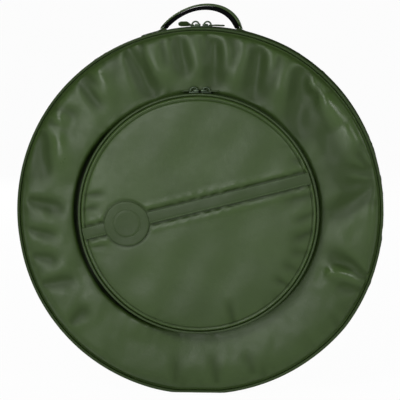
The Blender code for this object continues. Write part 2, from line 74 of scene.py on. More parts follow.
@dataclass(frozen=True)
class Bag:
    """Sizes that several sub-assemblies share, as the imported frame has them."""

    centre_z: float = 0.302
    edge: float = 0.305
    wall: float = 0.304
    panel: float = 0.2997
    panel_flat: float = 0.2935
    panel_eased: float = 0.2990
    panel_drop: float = 0.0040
    front: float = -0.0175
    back: float = 0.0485
    zip_y: float = 0.0075
    fold_z: float = 0.097915
    zip_end: float = 132.0
    skin_and_foam: float = 0.0078
    lining_gap: float = 0.0003
    lining: float = 0.001
    pocket: float = 0.1975
    pocket_edge: float = 0.1985
    pocket_panel: float = 0.1942
    pocket_front: float = -0.0455
    pocket_zip_y: float = -0.0285
    pocket_fold_z: float = 0.20275
    pocket_zip_end: float = 120.0
    fold_below: float = 0.0025
    fold_above: float = 0.0055
    stitch_lift: float = 0.00005


BAG = Bag()


# Finishes

class Coat(Enum):
    """Dark green shades of the coated leather, as linear colours."""

    PANEL = (0.0314, 0.0562, 0.0138)
    TRIM = (0.0240, 0.0435, 0.0104)
    PATCH = (0.0210, 0.0385, 0.0088)
    WALL = (0.0205, 0.0380, 0.0088)
    CORD = (0.0195, 0.0365, 0.0080)


class Graph:
    """A material's nodes, made and joined by name."""

    def __init__(self, name: str) -> None:
        """Start a material.

        Args:
            name: the material's name.
        """
        self.material = bpy.data.materials.new(name)
        self.material.use_nodes = True
        self.nodes = self.material.node_tree.nodes
        self.links = self.material.node_tree.links
        self.shader = self.nodes["Principled BSDF"]

    def node(self, kind: str, inputs: dict | None = None, **settings) -> bpy.types.Node:
        """Add a node.

        Args:
            kind: the node's type, without its ShaderNode prefix.
            inputs: socket name or number to a value, or to another node's socket.
            **settings: properties of the node itself.

        Returns:
            The node.
        """
        made = self.nodes.new(f"ShaderNode{kind}")
        for key, value in settings.items():
            setattr(made, key, value)
        for key, value in (inputs or {}).items():
            self.feed(made.inputs[key], value)
        return made

    def feed(self, socket: bpy.types.NodeSocket, value) -> None:
        """Set a socket to a value or link another socket to it.

        Args:
            socket: the socket to feed.
            value: a number, a colour, a vector or an output socket.
        """
        if isinstance(value, bpy.types.NodeSocket):
            self.links.new(value, socket)
        else:
            socket.default_value = value

    def set(self, **sockets) -> None:
        """Feed the shader's sockets, named with underscores for spaces.

        Args:
            **sockets: socket name to a value or an output socket.
        """
        for key, value in sockets.items():
            self.feed(self.shader.inputs[key.replace("_", " ")], value)

    def noise(self, where, scale: float, detail: float = 3.0, roughness: float = 0.5):
        """A noise's value.

        Args:
            where: the coordinates' socket.
            scale: waves to the metre.
            detail: octaves.
            roughness: strength of the finer octaves.

        Returns:
            The output socket.
        """
        made = self.node("TexNoise", {"Vector": where, "Scale": scale, "Detail": detail,
                                      "Roughness": roughness})
        return made.outputs[0]

    def ranged(self, value, low: float, high: float, to_low: float, to_high: float):
        """A value brought from one range to another.

        Args:
            value: the socket to bring.
            low: start of its range.
            high: end of its range.
            to_low: what the start becomes.
            to_high: what the end becomes.

        Returns:
            The output socket.
        """
        made = self.node("MapRange", {"Value": value, "From Min": low, "From Max": high,
                                      "To Min": to_low, "To Max": to_high})
        return made.outputs[0]

    def blend(self, share, first, second):
        """A mix of two colours.

        Args:
            share: how much of the second, a number or socket.
            first: the first colour.
            second: the second colour.

        Returns:
            The output socket.
        """
        made = self.node("Mix", data_type="RGBA")
        for socket, value in zip((made.inputs[0], made.inputs[6], made.inputs[7]),
                                 (share, first, second)):
            self.feed(socket, value)
        return made.outputs[2]

    def bump(self, height, distance: float, strength: float, under=None):
        """A bump's normal.

        Args:
            height: the height's socket.
            distance: what a height of one stands for, in metres.
            strength: share of the effect.
            under: the normal of a coarser bump, if there is one.

        Returns:
            The output socket.
        """
        inputs = {"Height": height, "Distance": distance, "Strength": strength}
        if under:
            inputs["Normal"] = under
        return self.node("Bump", inputs).outputs[0]


def shade(colour: Sequence[float], factor: float) -> tuple[float, float, float, float]:
    """A colour made lighter or darker, with full opacity.

    Args:
        colour: linear red, green and blue.
        factor: what each is multiplied by.

    Returns:
        The colour with its alpha.
    """
    return tuple(min(1.0, part * factor) for part in colour) + (1.0,)


@dataclass(frozen=True)
class Leather:
    """Coated leather: fine pebbled grain, soft mottling, smoother ridges and rougher creases, with painted
    highlight on the ridges, painted shade in the creases and painted shadow, near black, where the crease
    mark falls below -1.
    """

    name: str
    colour: Triple
    roughness: float = 0.35
    grain: float = 900.0
    grain_depth: float = 0.00016
    gloss: float = 0.24
    sheen: float = 0.06
    sheen_roughness: float = 0.36
    refraction: float = 1.48
    cloud_waves: float = 9.0
    mottle_waves: float = 75.0
    slack_waves: float = 130.0
    slack_depth: float = 0.0011
    # Shares of the colour left at the bottom of a valley: painted shade in the creases.
    valley: Triple = (0.50, 0.58, 0.25)
    valley_dull: float = 0.17
    ridge_polish: float = 0.05

    def material(self) -> bpy.types.Material:
        """Build the finish as a material."""
        graph = Graph(self.name)
        where = graph.node("TexCoord").outputs["Object"]
        crease = graph.node("Attribute", attribute_name="crease").outputs["Fac"]
        clouds = graph.noise(where, self.cloud_waves, 4.0)
        mottle = graph.noise(where, self.mottle_waves, 5.0, 0.6)
        tone = graph.blend(graph.ranged(clouds, 0.3, 0.7, 0.0, 1.0), shade(self.colour, 0.88),
                           shade(self.colour, 1.10))
        tone = graph.blend(graph.ranged(mottle, 0.3, 0.75, 0.0, 0.22), tone, shade(self.colour, 0.72))
        # Painted shade in the valleys, painted highlight on the ridges, and painted shadow, near black,
        # from crease -1 down to -2.
        shaded_valley = tuple(part * share for part, share in zip(self.colour, self.valley)) + (1.0,)
        tone = graph.blend(graph.ranged(crease, 0.0, -1.0, 0.0, 0.95), tone, shaded_valley)
        tone = graph.blend(graph.ranged(crease, 0.0, 1.0, 0.0, 0.35), tone, shade(self.colour, 1.45))
        tone = graph.blend(graph.ranged(crease, -1.0, -2.0, 0.0, 0.9), tone, shade(self.colour, 0.05))
        pebbles = graph.node("TexVoronoi", {"Vector": where, "Scale": self.grain, "Smoothness": 0.6},
                             feature="SMOOTH_F1").outputs["Distance"]
        pores = graph.noise(where, self.grain * 1.7, 2.0)
        slack = graph.noise(where, self.slack_waves, 3.0, 0.55)
        soft = graph.bump(slack, self.slack_depth, 0.22)
        fine = graph.bump(pebbles, self.grain_depth, 0.30, soft)
        normal = graph.bump(pores, self.grain_depth * 0.6, 0.25, fine)
        dull = graph.ranged(crease, -1.0, 1.0, self.roughness + self.valley_dull,
                            self.roughness - self.ridge_polish)
        worn = graph.ranged(mottle, 0.3, 0.7, -0.04, 0.05)
        rough = graph.node("Math", {0: dull, 1: worn}, operation="ADD").outputs[0]
        graph.set(Base_Color=tone, Roughness=rough, Normal=normal, Specular_IOR_Level=self.gloss,
                  Coat_Weight=self.sheen, Coat_Roughness=self.sheen_roughness,
                  IOR=self.refraction)
        return graph.material


@dataclass(frozen=True)
class Cloth:
    """Brushed or woven cloth of one colour, with a dry sheen."""

    name: str
    colour: Triple
    roughness: float = 0.85
    threads: float = 1400.0
    depth: float = 0.00025
    patch_waves: float = 22.0
    gloss: float = 0.25
    sheen: float = 0.25
    sheen_roughness: float = 0.5

    def material(self) -> bpy.types.Material:
        """Build the finish as a material."""
        graph = Graph(self.name)
        where = graph.node("TexCoord").outputs["Object"]
        fuzz = graph.noise(where, self.threads, 3.0, 0.7)
        patch = graph.noise(where, self.patch_waves, 4.0)
        tone = graph.blend(graph.ranged(patch, 0.3, 0.7, 0.0, 1.0), shade(self.colour, 0.75),
                           shade(self.colour, 1.35))
        tone = graph.blend(graph.ranged(fuzz, 0.35, 0.7, 0.0, 0.5), tone, shade(self.colour, 2.2))
        graph.set(Base_Color=tone, Roughness=self.roughness,
                  Normal=graph.bump(fuzz, self.depth, 0.6), Specular_IOR_Level=self.gloss,
                  Sheen_Weight=self.sheen, Sheen_Roughness=self.sheen_roughness)
        return graph.material


@dataclass(frozen=True)
class Weave:
    """Webbing or zip tape, whose threads follow the piece's own UV map, in metres."""

    name: str
    colour: Triple
    pitch: float = 0.0012
    slant: float = 35.0
    gloss: float = 0.3
    sheen: float = 0.12
    roughness: float = 0.85
    depth: float = 0.0003

    def material(self) -> bpy.types.Material:
        """Build the finish as a material."""
        graph = Graph(self.name)
        where = graph.node("UVMap", uv_map="surface").outputs["UV"]
        heights = []
        for turn in (self.slant, -self.slant):
            turned = graph.node("Mapping", {"Vector": where, "Rotation": (0.0, 0.0, radians(turn))})
            wave = graph.node("TexWave", {"Vector": turned.outputs[0],
                                          "Scale": 1.0 / (pi * self.pitch),
                                          "Distortion": 0.6, "Detail": 1.0})
            heights.append(wave.outputs["Fac"])
        height = graph.node("Math", {0: heights[0], 1: heights[1]}, operation="MULTIPLY").outputs[0]
        # Painted shade between the threads and painted highlight on their crests, following the weave's
        # height.
        tone = graph.blend(height, shade(self.colour, 0.55), shade(self.colour, 1.5))
        graph.set(Base_Color=tone, Roughness=self.roughness,
                  Normal=graph.bump(height, self.depth, 0.7),
                  Specular_IOR_Level=self.gloss, Sheen_Weight=self.sheen)
        return graph.material


@dataclass(frozen=True)
class Lacquer:
    """Green lacquer on zip metal, with lighter, rougher specks here and there, or moulded nylon where it
    isn't metal.
    """

    name: str
    colour: Triple
    metallic: float = 0.6
    roughness: float = 0.32
    speck_waves: float = 800.0
    depth: float = 0.0001

    def material(self) -> bpy.types.Material:
        """Build the finish as a material."""
        graph = Graph(self.name)
        where = graph.node("TexCoord").outputs["Object"]
        specks = graph.noise(where, self.speck_waves, 4.0, 0.6)
        tone = graph.blend(graph.ranged(specks, 0.45, 0.75, 0.0, 0.5), shade(self.colour, 1.0),
                           shade(self.colour, 1.7))
        rough = graph.ranged(specks, 0.3, 0.7, self.roughness - 0.05, self.roughness + 0.12)
        graph.set(Base_Color=tone, Metallic=self.metallic, Roughness=rough,
                  Normal=graph.bump(specks, self.depth, 0.15))
        return graph.material


class Finishes:
    """Every finish of the bag, as materials made once."""

    def __init__(self) -> None:
        """Make the materials."""
        self.panel = Leather("green_leather", Coat.PANEL.value).material()
        self.trim = Leather("green_trim", Coat.TRIM.value, roughness=0.42).material()
        self.cord = Leather("green_piping", Coat.CORD.value, roughness=0.45, gloss=0.18,
                            sheen=0.0).material()
        self.patch = Leather("green_patch", Coat.PATCH.value, roughness=0.50, gloss=0.3).material()
        self.wall = Leather("green_wall", Coat.WALL.value, roughness=0.75, gloss=0.03,
                            sheen=0.0).material()
        self.lining = Cloth("black_lining", (0.010, 0.011, 0.011)).material()
        self.tape = Weave("zip_tape", (0.026, 0.042, 0.019), pitch=0.0009).material()
        self.webbing = Weave("black_webbing", (0.0025, 0.003, 0.003), pitch=0.0019,
                             gloss=0.03, sheen=0.0).material()
        self.coil = Lacquer("zip_coil", (0.022, 0.036, 0.018), metallic=0.0,
                            roughness=0.42).material()
        self.metal = Lacquer("zip_lacquer", (0.040, 0.060, 0.034)).material()
        self.thread = Cloth("thread", (0.050, 0.078, 0.036), threads=2600.0,
                            depth=0.0001).material()


# Shapes

def spun(outline: Outline, start: float = 0.0, end: float = FULL_TURN, steps: int = 360,
         closed: bool = True) -> bmesh.types.BMesh:
    """Turn an outline round the bag's axis.

    Args:
        outline: points as radius, y and the cuts before the next point.
        start: first turn.
        end: last turn.
        steps: facets from first to last.
        closed: whether the last point joins the first.

    Returns:
        The bmesh, about the bag's centre.
    """
    wedge = bmesh.new()
    first = Matrix.Rotation(radians(start), 4, "Y")
    corners = [first @ Vector((0.0, y, radius)) for radius, y, _ in outline]
    line = []
    for (_, _, cuts), corner, follower in zip(outline, corners, corners[1:] + corners[:1]):
        line += [wedge.verts.new(corner.lerp(follower, cut / (cuts + 1))) for cut in range(cuts + 1)]
    for corner, follower in zip(line, line[1:] + (line[:1] if closed else [])):
        wedge.edges.new((corner, follower))
    parts = max(1, round(steps / WEDGE_STEPS))
    turn = radians(end - start) / parts
    bmesh.ops.spin(wedge, geom=wedge.verts[:] + wedge.edges[:], cent=(0.0, 0.0, 0.0),
                   axis=(0.0, 1.0, 0.0), angle=turn, steps=round(steps / parts), use_merge=False,
                   use_duplicate=False)
    places = [Matrix.Rotation(turn * part, 4, "Y") for part in range(parts)]
    bm = repeated(wedge, places)
    bmesh.ops.remove_doubles(bm, verts=bm.verts, dist=5e-6)
    close(bm)
    return bm


def repeated(shape: bmesh.types.BMesh, places: Sequence[Matrix]) -> bmesh.types.BMesh:
    """Copies of a shape in one bmesh.

    Args:
        shape: the shape, freed here.
        places: one matrix for each copy.

    Returns:
        The bmesh with every copy.
    """
    mesh = bpy.data.meshes.new("repeated")
    shape.to_mesh(mesh)
    shape.free()
    bm = bmesh.new()
    for place in places:
        copy = mesh.copy()
        copy.transform(place)
        bm.from_mesh(copy)
        bpy.data.meshes.remove(copy)
    bpy.data.meshes.remove(mesh)
    return bm


def close(bm: bmesh.types.BMesh) -> None:
    """Fill every open edge loop."""
    rim = [edge for edge in bm.edges if edge.is_boundary]
    if rim:
        bmesh.ops.holes_fill(bm, edges=rim, sides=0)


def cord_outline(radius: float, y: float, thickness: float, sides: int = 14) -> Outline:
    """Outline of a round cord whose middle runs at a radius and a depth.

    Args:
        radius: radius of the cord's middle line.
        y: its depth.
        thickness: the cord's own radius.
        sides: points round it.

    Returns:
        The outline.
    """
    turns = [2 * pi * side / sides for side in range(sides)]
    return [(radius + thickness * cos(turn), y + thickness * sin(turn), 0) for turn in turns]


def band_outline(inner: float, outer: float, front: float, back: float, cuts: int = 6,
                 ease: float = 0.0005) -> Outline:
    """Outline of a flat band with eased edges.

    Args:
        inner: inner radius.
        outer: outer radius.
        front: lower y.
        back: higher y.
        cuts: cuts across its width.
        ease: size of the eased edges.

    Returns:
        The outline.
    """
    middle = (inner + outer) / 2
    return [(inner, front + ease, cuts), (inner, back - ease, 0), (middle, back, 0),
            (outer, back - ease, cuts), (outer, front + ease, 0), (middle, front, 0)]


def make_piece(name: str, bm: bmesh.types.BMesh, material: bpy.types.Material,
               about_axis: bool = True, sharp: float = 42.0) -> bpy.types.Object:
    """Make a bmesh an object at the origin.

    Args:
        name: the piece's name.
        bm: its shape, freed here.
        material: its finish.
        about_axis: whether the shape is given about the bag's centre.
        sharp: angle in degrees past which an edge stays sharp.

    Returns:
        The object.
    """
    if about_axis:
        bmesh.ops.translate(bm, verts=bm.verts, vec=(0.0, 0.0, BAG.centre_z))
    bmesh.ops.recalc_face_normals(bm, faces=bm.faces)
    mesh = bpy.data.meshes.new(name)
    bm.to_mesh(mesh)
    bm.free()
    mesh.shade_smooth()
    mesh.set_sharp_from_angle(angle=radians(sharp))
    mesh.materials.append(material)
    piece = bpy.data.objects.new(name, mesh)
    bpy.context.scene.collection.objects.link(piece)
    return piece


def read_points(piece: bpy.types.Object) -> Points:
    """A piece's vertices as rows of x, y and z."""
    flat = np.zeros(len(piece.data.vertices) * 3)
    piece.data.vertices.foreach_get("co", flat)
    return flat.reshape(-1, 3)


def set_points(piece: bpy.types.Object, points: Points) -> None:
    """Put a piece's vertices at these points."""
    piece.data.vertices.foreach_set("co", points.ravel())
    piece.data.update()


def move_points(piece: bpy.types.Object, mover: Mover) -> None:
    """Move a piece's vertices.

    Args:
        piece: the piece.
        mover: takes the points and returns them moved.
    """
    set_points(piece, mover(read_points(piece)))


def write_value(piece: bpy.types.Object, name: str, values: np.ndarray) -> None:
    """Keep a value at each vertex for a finish to read.

    Args:
        piece: the piece.
        name: the attribute's name.
        values: one number a vertex.
    """
    layer = piece.data.attributes.new(name, "FLOAT", "POINT")
    layer.data.foreach_set("value", values.astype(np.float32))


def write_uv(piece: bpy.types.Object, mapper: Mover) -> None:
    """Give a piece a UV map in metres along its own surface.

    Args:
        piece: the piece.
        mapper: takes the points and returns two columns.
    """
    corners = np.zeros(len(piece.data.loops), dtype=np.int32)
    piece.data.loops.foreach_get("vertex_index", corners)
    layer = piece.data.uv_layers.new(name="surface")
    layer.data.foreach_set("uv", mapper(read_points(piece))[corners].astype(np.float32).ravel())


def radius_and_turn(points: Points) -> tuple[np.ndarray, np.ndarray]:
    """Each point's distance from the bag's axis, and its turn from the top in radians."""
    height = points[:, 2] - BAG.centre_z
    return np.hypot(points[:, 0], height), np.arctan2(points[:, 0], height)


def scale_out(points: Points, factor: np.ndarray) -> Points:
    """Scale each point's distance from the bag's axis by its own factor, in place."""
    points[:, 0] *= factor
    points[:, 2] = BAG.centre_z + (points[:, 2] - BAG.centre_z) * factor
    return points


def across_band(points: Points, front: float, back: float) -> np.ndarray:
    """Each point's place across a band round the bag, from -1 at its front to 1 at its back."""
    middle, half = (front + back) / 2, (back - front) / 2
    return np.clip((points[:, 1] - middle) / half, -1.0, 1.0)


def round_rim(points: Points) -> Points:
    """Map of a band round the bag: length along it, and depth."""
    _, turn = radius_and_turn(points)
    return np.column_stack((turn * BAG.edge, points[:, 1]))


def wander(points: Points, size: float, seed: int, waves: int = 12) -> np.ndarray:
    """Smooth unevenness of about unit height, the same on each run.

    Args:
        points: where to read it.
        size: rough distance between its crests.
        seed: which one of many.
        waves: waves that it is summed from.

    Returns:
        One height a point.
    """
    random = np.random.default_rng(seed)
    ways = random.normal(size=(waves, points.shape[1]))
    ways *= (2 * pi / size * random.uniform(0.6, 1.5, waves) / np.linalg.norm(ways, axis=1))[:, None]
    phases = random.uniform(0.0, 2 * pi, waves)
    return np.cos(points @ ways.T + phases).sum(axis=1) / sqrt(waves / 2)


def press_on_floor(points: Points) -> Points:
    """Press the rim flat where it stands, each layer by its own depth under the wall's surface."""
    radius, _ = radius_and_turn(points)
    floor = np.maximum(0.0, BAG.wall - radius)
    points[:, 2] = np.maximum(points[:, 2], floor)
    return points


def ease_in(distance: np.ndarray, length: float) -> np.ndarray:
    """A rise from 0 at a seam to 1 well away from it.

    Args:
        distance: distances from the seam.
        length: distance in which most of the rise is done.

    Returns:
        The rise at each distance.
    """
    return 1.0 - np.exp(-np.maximum(distance, 0.0) / length)


def smooth_step(values: np.ndarray, start: float, end: float) -> np.ndarray:
    """A smooth rise from 0 at one value to 1 at another."""
    share = np.clip((values - start) / (end - start), 0.0, 1.0)
    return share * share * (3.0 - 2.0 * share)


def fold_section(across: np.ndarray) -> np.ndarray:
    """Height across a fold: a valley of depth 1 with soft flanks between two low ridges."""
    ridges = np.exp(-((np.abs(across) - RIDGE_PLACE) / RIDGE_SPREAD) ** 2)
    return RIDGE_HEIGHT * ridges - 1.0 / np.cosh(VALLEY_SLOPE * across)


@dataclass(frozen=True)
class Crease:
    """One large fold of a panel, in millimetres about the bag's axis, x to the right and z up."""

    x1: float
    z1: float
    x2: float
    z2: float
    depth: float
    width: float

    def height(self, x: np.ndarray, z: np.ndarray) -> np.ndarray:
        """Height that the fold adds, in metres.

        Args:
            x: points' x in millimetres.
            z: points' z about the axis in millimetres.

        Returns:
            The heights.
        """
        run_x, run_z = self.x2 - self.x1, self.z2 - self.z1
        length = sqrt(run_x ** 2 + run_z ** 2)
        along = ((x - self.x1) * run_x + (z - self.z1) * run_z) / length ** 2
        side = ((x - self.x1) * run_z - (z - self.z1) * run_x) / length
        width = self.width * (0.55 + 0.65 * np.clip(along, 0.0, 1.2))
        fade = np.clip((along + 0.08) / 0.16, 0.0, 1.0) * np.clip((1.15 - along) / 0.6, 0.0, 1.0)
        fade = fade * fade * (3.0 - 2.0 * fade)
        return CREASE_UNIT * self.depth * fade * fold_section(side / width)


def folded(creases: Sequence[Crease], points: Points) -> np.ndarray:
    """Height that a panel's creases add together, in metres."""
    x, z = points[:, 0] * MILLIMETRES, (points[:, 2] - BAG.centre_z) * MILLIMETRES
    return sum(crease.height(x, z) for crease in creases)


@dataclass(frozen=True)
class Gathers:
    """Small puckers that run from a round seam into a panel."""

    seam: float
    inward: int
    count: int
    seed: int
    depth: float
    reach: float
    width: float
    crowd: float = 0.0
    crowd_turn: float = 0.0

    def height(self, points: Points) -> np.ndarray:
        """Height that the puckers add, in metres.

        Args:
            points: the panel's points.

        Returns:
            The heights.
        """
        random = np.random.default_rng(self.seed)
        radius, turn = radius_and_turn(points)
        distance = self.inward * (self.seam - radius)
        rise = np.zeros(len(points))
        near = np.flatnonzero((distance > -0.004) & (distance < 2.6 * self.reach))
        for _ in range(self.count):
            place = random.uniform(-pi, pi)
            depth = self.depth * random.uniform(0.3, 1.0)
            reach = self.reach * random.uniform(0.45, 1.4)
            width = self.width * random.uniform(0.6, 1.5)
            slant = random.normal(0.0, 0.35)
            depth *= 1.0 + self.crowd * cos(place - radians(self.crowd_turn))
            away = np.maximum(distance[near], 0.0)
            offset = (turn[near] - place + pi) % (2 * pi) - pi
            across = offset * radius[near] - slant * away
            spread = width * (0.6 + 0.9 * away / reach)
            rise[near] += (max(depth, 0.0) * fold_section(across / spread)
                           * np.exp(-(away / reach) ** 2) * ease_in(away, 0.0025))
        return rise


@dataclass(frozen=True)
class Swell:
    """How far the soft rim strays from a true circle, as turn and millimetres outward."""

    steps: tuple[Pair, ...] = (
        (-180.0, 0.0), (-165.0, 1.2), (-140.0, 1.4), (-118.0, 0.2), (-100.0, -1.4), (-80.0, -1.2),
        (-50.0, 0.0), (-15.0, 0.2), (10.0, 1.0), (28.0, 2.4), (50.0, 1.6), (75.0, -0.6),
        (95.0, -1.8), (112.0, 0.4), (128.0, 2.6), (142.0, 1.2), (165.0, 0.2), (180.0, 0.0))
    inner: float = 0.262
    zip_clear: float = 0.007
    zip_far: float = 0.017

    def move(self, points: Points) -> Points:
        """Swell a piece's points. The zip stays round, or is drawn in with the rim.

        Args:
            points: the piece's points.

        Returns:
            The points, moved.
        """
        radius, turn = radius_and_turn(points)
        turns, sizes = zip(*self.steps)
        out = 0.001 * np.interp(np.degrees(turn), turns, sizes)
        share = np.clip((radius - self.inner) / (BAG.wall - self.inner), 0.0, 1.0)
        off_zip = np.abs(points[:, 1] - BAG.zip_y)
        free = np.clip((off_zip - self.zip_clear) / (self.zip_far - self.zip_clear), 0.0, 1.0)
        out = np.where(out > 0.0, out * free, out * (0.5 + 0.5 * free)) * share ** 2
        factor = 1.0 + out / np.maximum(radius, 1e-6)
        return scale_out(points, factor)


@dataclass(frozen=True)
class Drape:
    """Cloth simulation in which a sewn panel's leather, cut a little large, settles in its folds."""

    frames: int = 20
    pressure: float = 0.7
    mass: float = 0.05
    tension: float = 20.0
    bending: float = 3.0
    spare: float = 0.014
    reach: float = 0.006
    strokes: int = 12
    quality: int = 5
    damping: float = 2.0

    def sheet(self, piece: bpy.types.Object, free: np.ndarray) -> tuple[bpy.types.Object, np.ndarray]:
        """The part of a panel that can move, with the sewn points round it, as a sheet of its own.

        Args:
            piece: the panel.
            free: each point's freedom, 0 sewn fast and 1 loose.

        Returns:
            The sheet, and the panel's point behind each of its own.
        """
        bm = bmesh.new()
        bm.from_mesh(piece.data)
        source = bm.verts.layers.int.new("source")
        for vert in bm.verts:
            vert[source] = vert.index
        fixed = [face for face in bm.faces if all(free[vert.index] <= 0.0 for vert in face.verts)]
        bmesh.ops.delete(bm, geom=fixed, context="FACES")
        loose = [vert for vert in bm.verts if not vert.link_faces]
        bmesh.ops.delete(bm, geom=loose, context="VERTS")
        mesh = bpy.data.meshes.new("sheet")
        bm.to_mesh(mesh)
        bm.free()
        behind = np.zeros(len(mesh.vertices), dtype=np.int32)
        mesh.attributes["source"].data.foreach_get("value", behind)
        sheet = bpy.data.objects.new("sheet", mesh)
        bpy.context.scene.collection.objects.link(sheet)
        return sheet, behind

    def iron(self, piece: bpy.types.Object, free: np.ndarray) -> None:
        """Round off creases that are sharper than thick leather's.

        Args:
            piece: the panel.
            free: each point's freedom, 0 sewn fast and 1 loose.
        """
        bm = bmesh.new()
        bm.from_mesh(piece.data)
        loose = [vert for vert in bm.verts if free[vert.index] > 0.5]
        for _ in range(self.strokes):
            bmesh.ops.smooth_vert(bm, verts=loose, factor=0.5, use_axis_x=True, use_axis_y=True,
                                  use_axis_z=True)
        bm.to_mesh(piece.data)
        bm.free()

    def settle(self, piece: bpy.types.Object, free: np.ndarray, slack: np.ndarray) -> None:
        """Let a panel's loose part settle.

        Args:
            piece: the panel.
            free: each point's freedom, 0 sewn fast and 1 loose.
            slack: share of the spare leather that each point gets.
        """
        sheet, behind = self.sheet(piece, free)
        group = sheet.vertex_groups.new(name="sewn")
        spare = sheet.vertex_groups.new(name="spare")
        for index, point in enumerate(behind):
            group.add([index], float(1.0 - free[point]), "REPLACE")
            spare.add([index], float(slack[point]), "REPLACE")
        modifier = sheet.modifiers.new("cloth", "CLOTH")
        cloth = modifier.settings
        cloth.effector_weights.gravity = 0.0
        cloth.vertex_group_mass = group.name
        cloth.mass = self.mass
        cloth.quality = self.quality
        cloth.tension_stiffness = cloth.compression_stiffness = self.tension
        cloth.shear_stiffness = self.tension / 3
        cloth.bending_stiffness = self.bending
        cloth.air_damping = self.damping
        cloth.vertex_group_shrink = spare.name
        cloth.shrink_min = 0.0
        cloth.shrink_max = -self.spare
        cloth.use_pressure = True
        cloth.uniform_pressure_force = self.pressure
        modifier.collision_settings.use_collision = False
        modifier.collision_settings.use_self_collision = False
        modifier.point_cache.frame_start = 1
        modifier.point_cache.frame_end = self.frames
        scene = bpy.context.scene
        for step in range(1, self.frames + 1):
            scene.frame_set(step)
        settled = sheet.evaluated_get(bpy.context.evaluated_depsgraph_get())
        flat = np.zeros(len(behind) * 3)
        settled.data.vertices.foreach_get("co", flat)
        points = read_points(piece)
        move = flat.reshape(-1, 3) - points[behind]
        length = np.maximum(np.linalg.norm(move, axis=1), 1e-9)
        move *= (self.reach * np.tanh(length / self.reach) / length)[:, None]
        LOG.info("%s settled by %.4f m at most, %.4f m on average", piece.name, length.max(),
                 length.mean())
        points[behind] += move
        set_points(piece, points)
        self.iron(piece, free)
        mesh = sheet.data
        bpy.data.objects.remove(sheet)
        bpy.data.meshes.remove(mesh)
        scene.frame_set(1)


SWELL = Swell()


def settle_rim(points: Points) -> Points:
    """Swell the rim and press it on the floor."""
    return press_on_floor(SWELL.move(points))


def beads(name: str, places: Sequence[Matrix], size: Triple,
          material: bpy.types.Material, sides: int = 7, rings: int = 4) -> bpy.types.Object:
    """Many small rounded shapes in one piece: stitches, or a zip coil's turns.

    Args:
        name: the piece's name.
        places: one matrix each, about the bag's centre.
        size: length, width and height of one.
        material: their finish.
        sides: facets round one.
        rings: facets along one.

    Returns:
        The object.
    """
    bead = bmesh.new()
    bmesh.ops.create_uvsphere(bead, u_segments=sides, v_segments=rings, radius=1.0,
                              matrix=Matrix.Diagonal((size[0] / 2, size[1] / 2, size[2] / 2, 1.0)))
    return make_piece(name, repeated(bead, places), material)


def on_rim(turn: float, radius: float, y: float, skew: float = 0.0) -> Matrix:
    """A place on the rim, x along it, y along the bag's axis and z outward.

    Args:
        turn: turn in degrees.
        radius: distance from the axis.
        y: depth.
        skew: turn about the outward line, in degrees.

    Returns:
        The matrix, about the bag's centre.
    """
    return (Matrix.Rotation(radians(turn), 4, "Y") @ Matrix.Translation((0.0, y, radius))
            @ Matrix.Rotation(radians(skew), 4, "Z"))


def rim_row(radius: float, y: float, start: float, end: float, pitch: float,
            skew: float = 0.0) -> list[Matrix]:
    """Places at even steps round the rim.

    Args:
        radius: distance from the axis.
        y: depth.
        start: first turn.
        end: last turn.
        pitch: step in metres.
        skew: each place's turn about the outward line.

    Returns:
        The matrices.
    """
    count = int(radians(end - start) * radius / pitch)
    step = (end - start) / count
    return [on_rim(start + (index + 0.5) * step, radius, y, skew) for index in range(count)]


def show(piece: bpy.types.Object, nodes: Sequence[str] = (),
         body: str | None = None, across: Fold | None = None) -> None:
    """Hide the frame's nodes that a finished piece stands for, and put it on its body.

    Args:
        piece: the piece.
        nodes: the frame's nodes that it stands for.
        body: the body that it rides on, if it is one.
        across: two bodies and the heights of a fold that it crosses; if given, its transform is baked into
            its mesh.
    """
    if body:
        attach(piece, body)
    if across:
        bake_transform(piece)
    if nodes:
        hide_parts(*nodes)
    LOG.info("%s: %d faces", piece.name, len(piece.data.polygons))


COVER_FOLD = ("bag_body", "cover", BAG.fold_z - BAG.fold_below, BAG.fold_z + BAG.fold_above)
POCKET_FOLD = ("cover", "pocket_flap", BAG.pocket_fold_z - BAG.fold_below,
               BAG.pocket_fold_z + BAG.fold_above)


# Front, back and rim

def panel_edge(face: float, inner: float, inward: int, dip: float) -> Outline:
    """Outline of a padded panel from where its face rounds off, to the axis behind it.

    Args:
        face: y of the panel's face.
        inner: y of its inner side.
        inward: 1 where the inside of the bag is at higher y, -1 where it is at lower.
        dip: how far the face has dropped near its edge.

    Returns:
        The rest of the outline.
    """
    return [(BAG.panel_flat, face, 4), (BAG.panel_eased, face + inward * dip, 1),
            (BAG.panel, face + inward * BAG.panel_drop, 1), (BAG.panel, inner, 8), (0.0, inner, 0)]


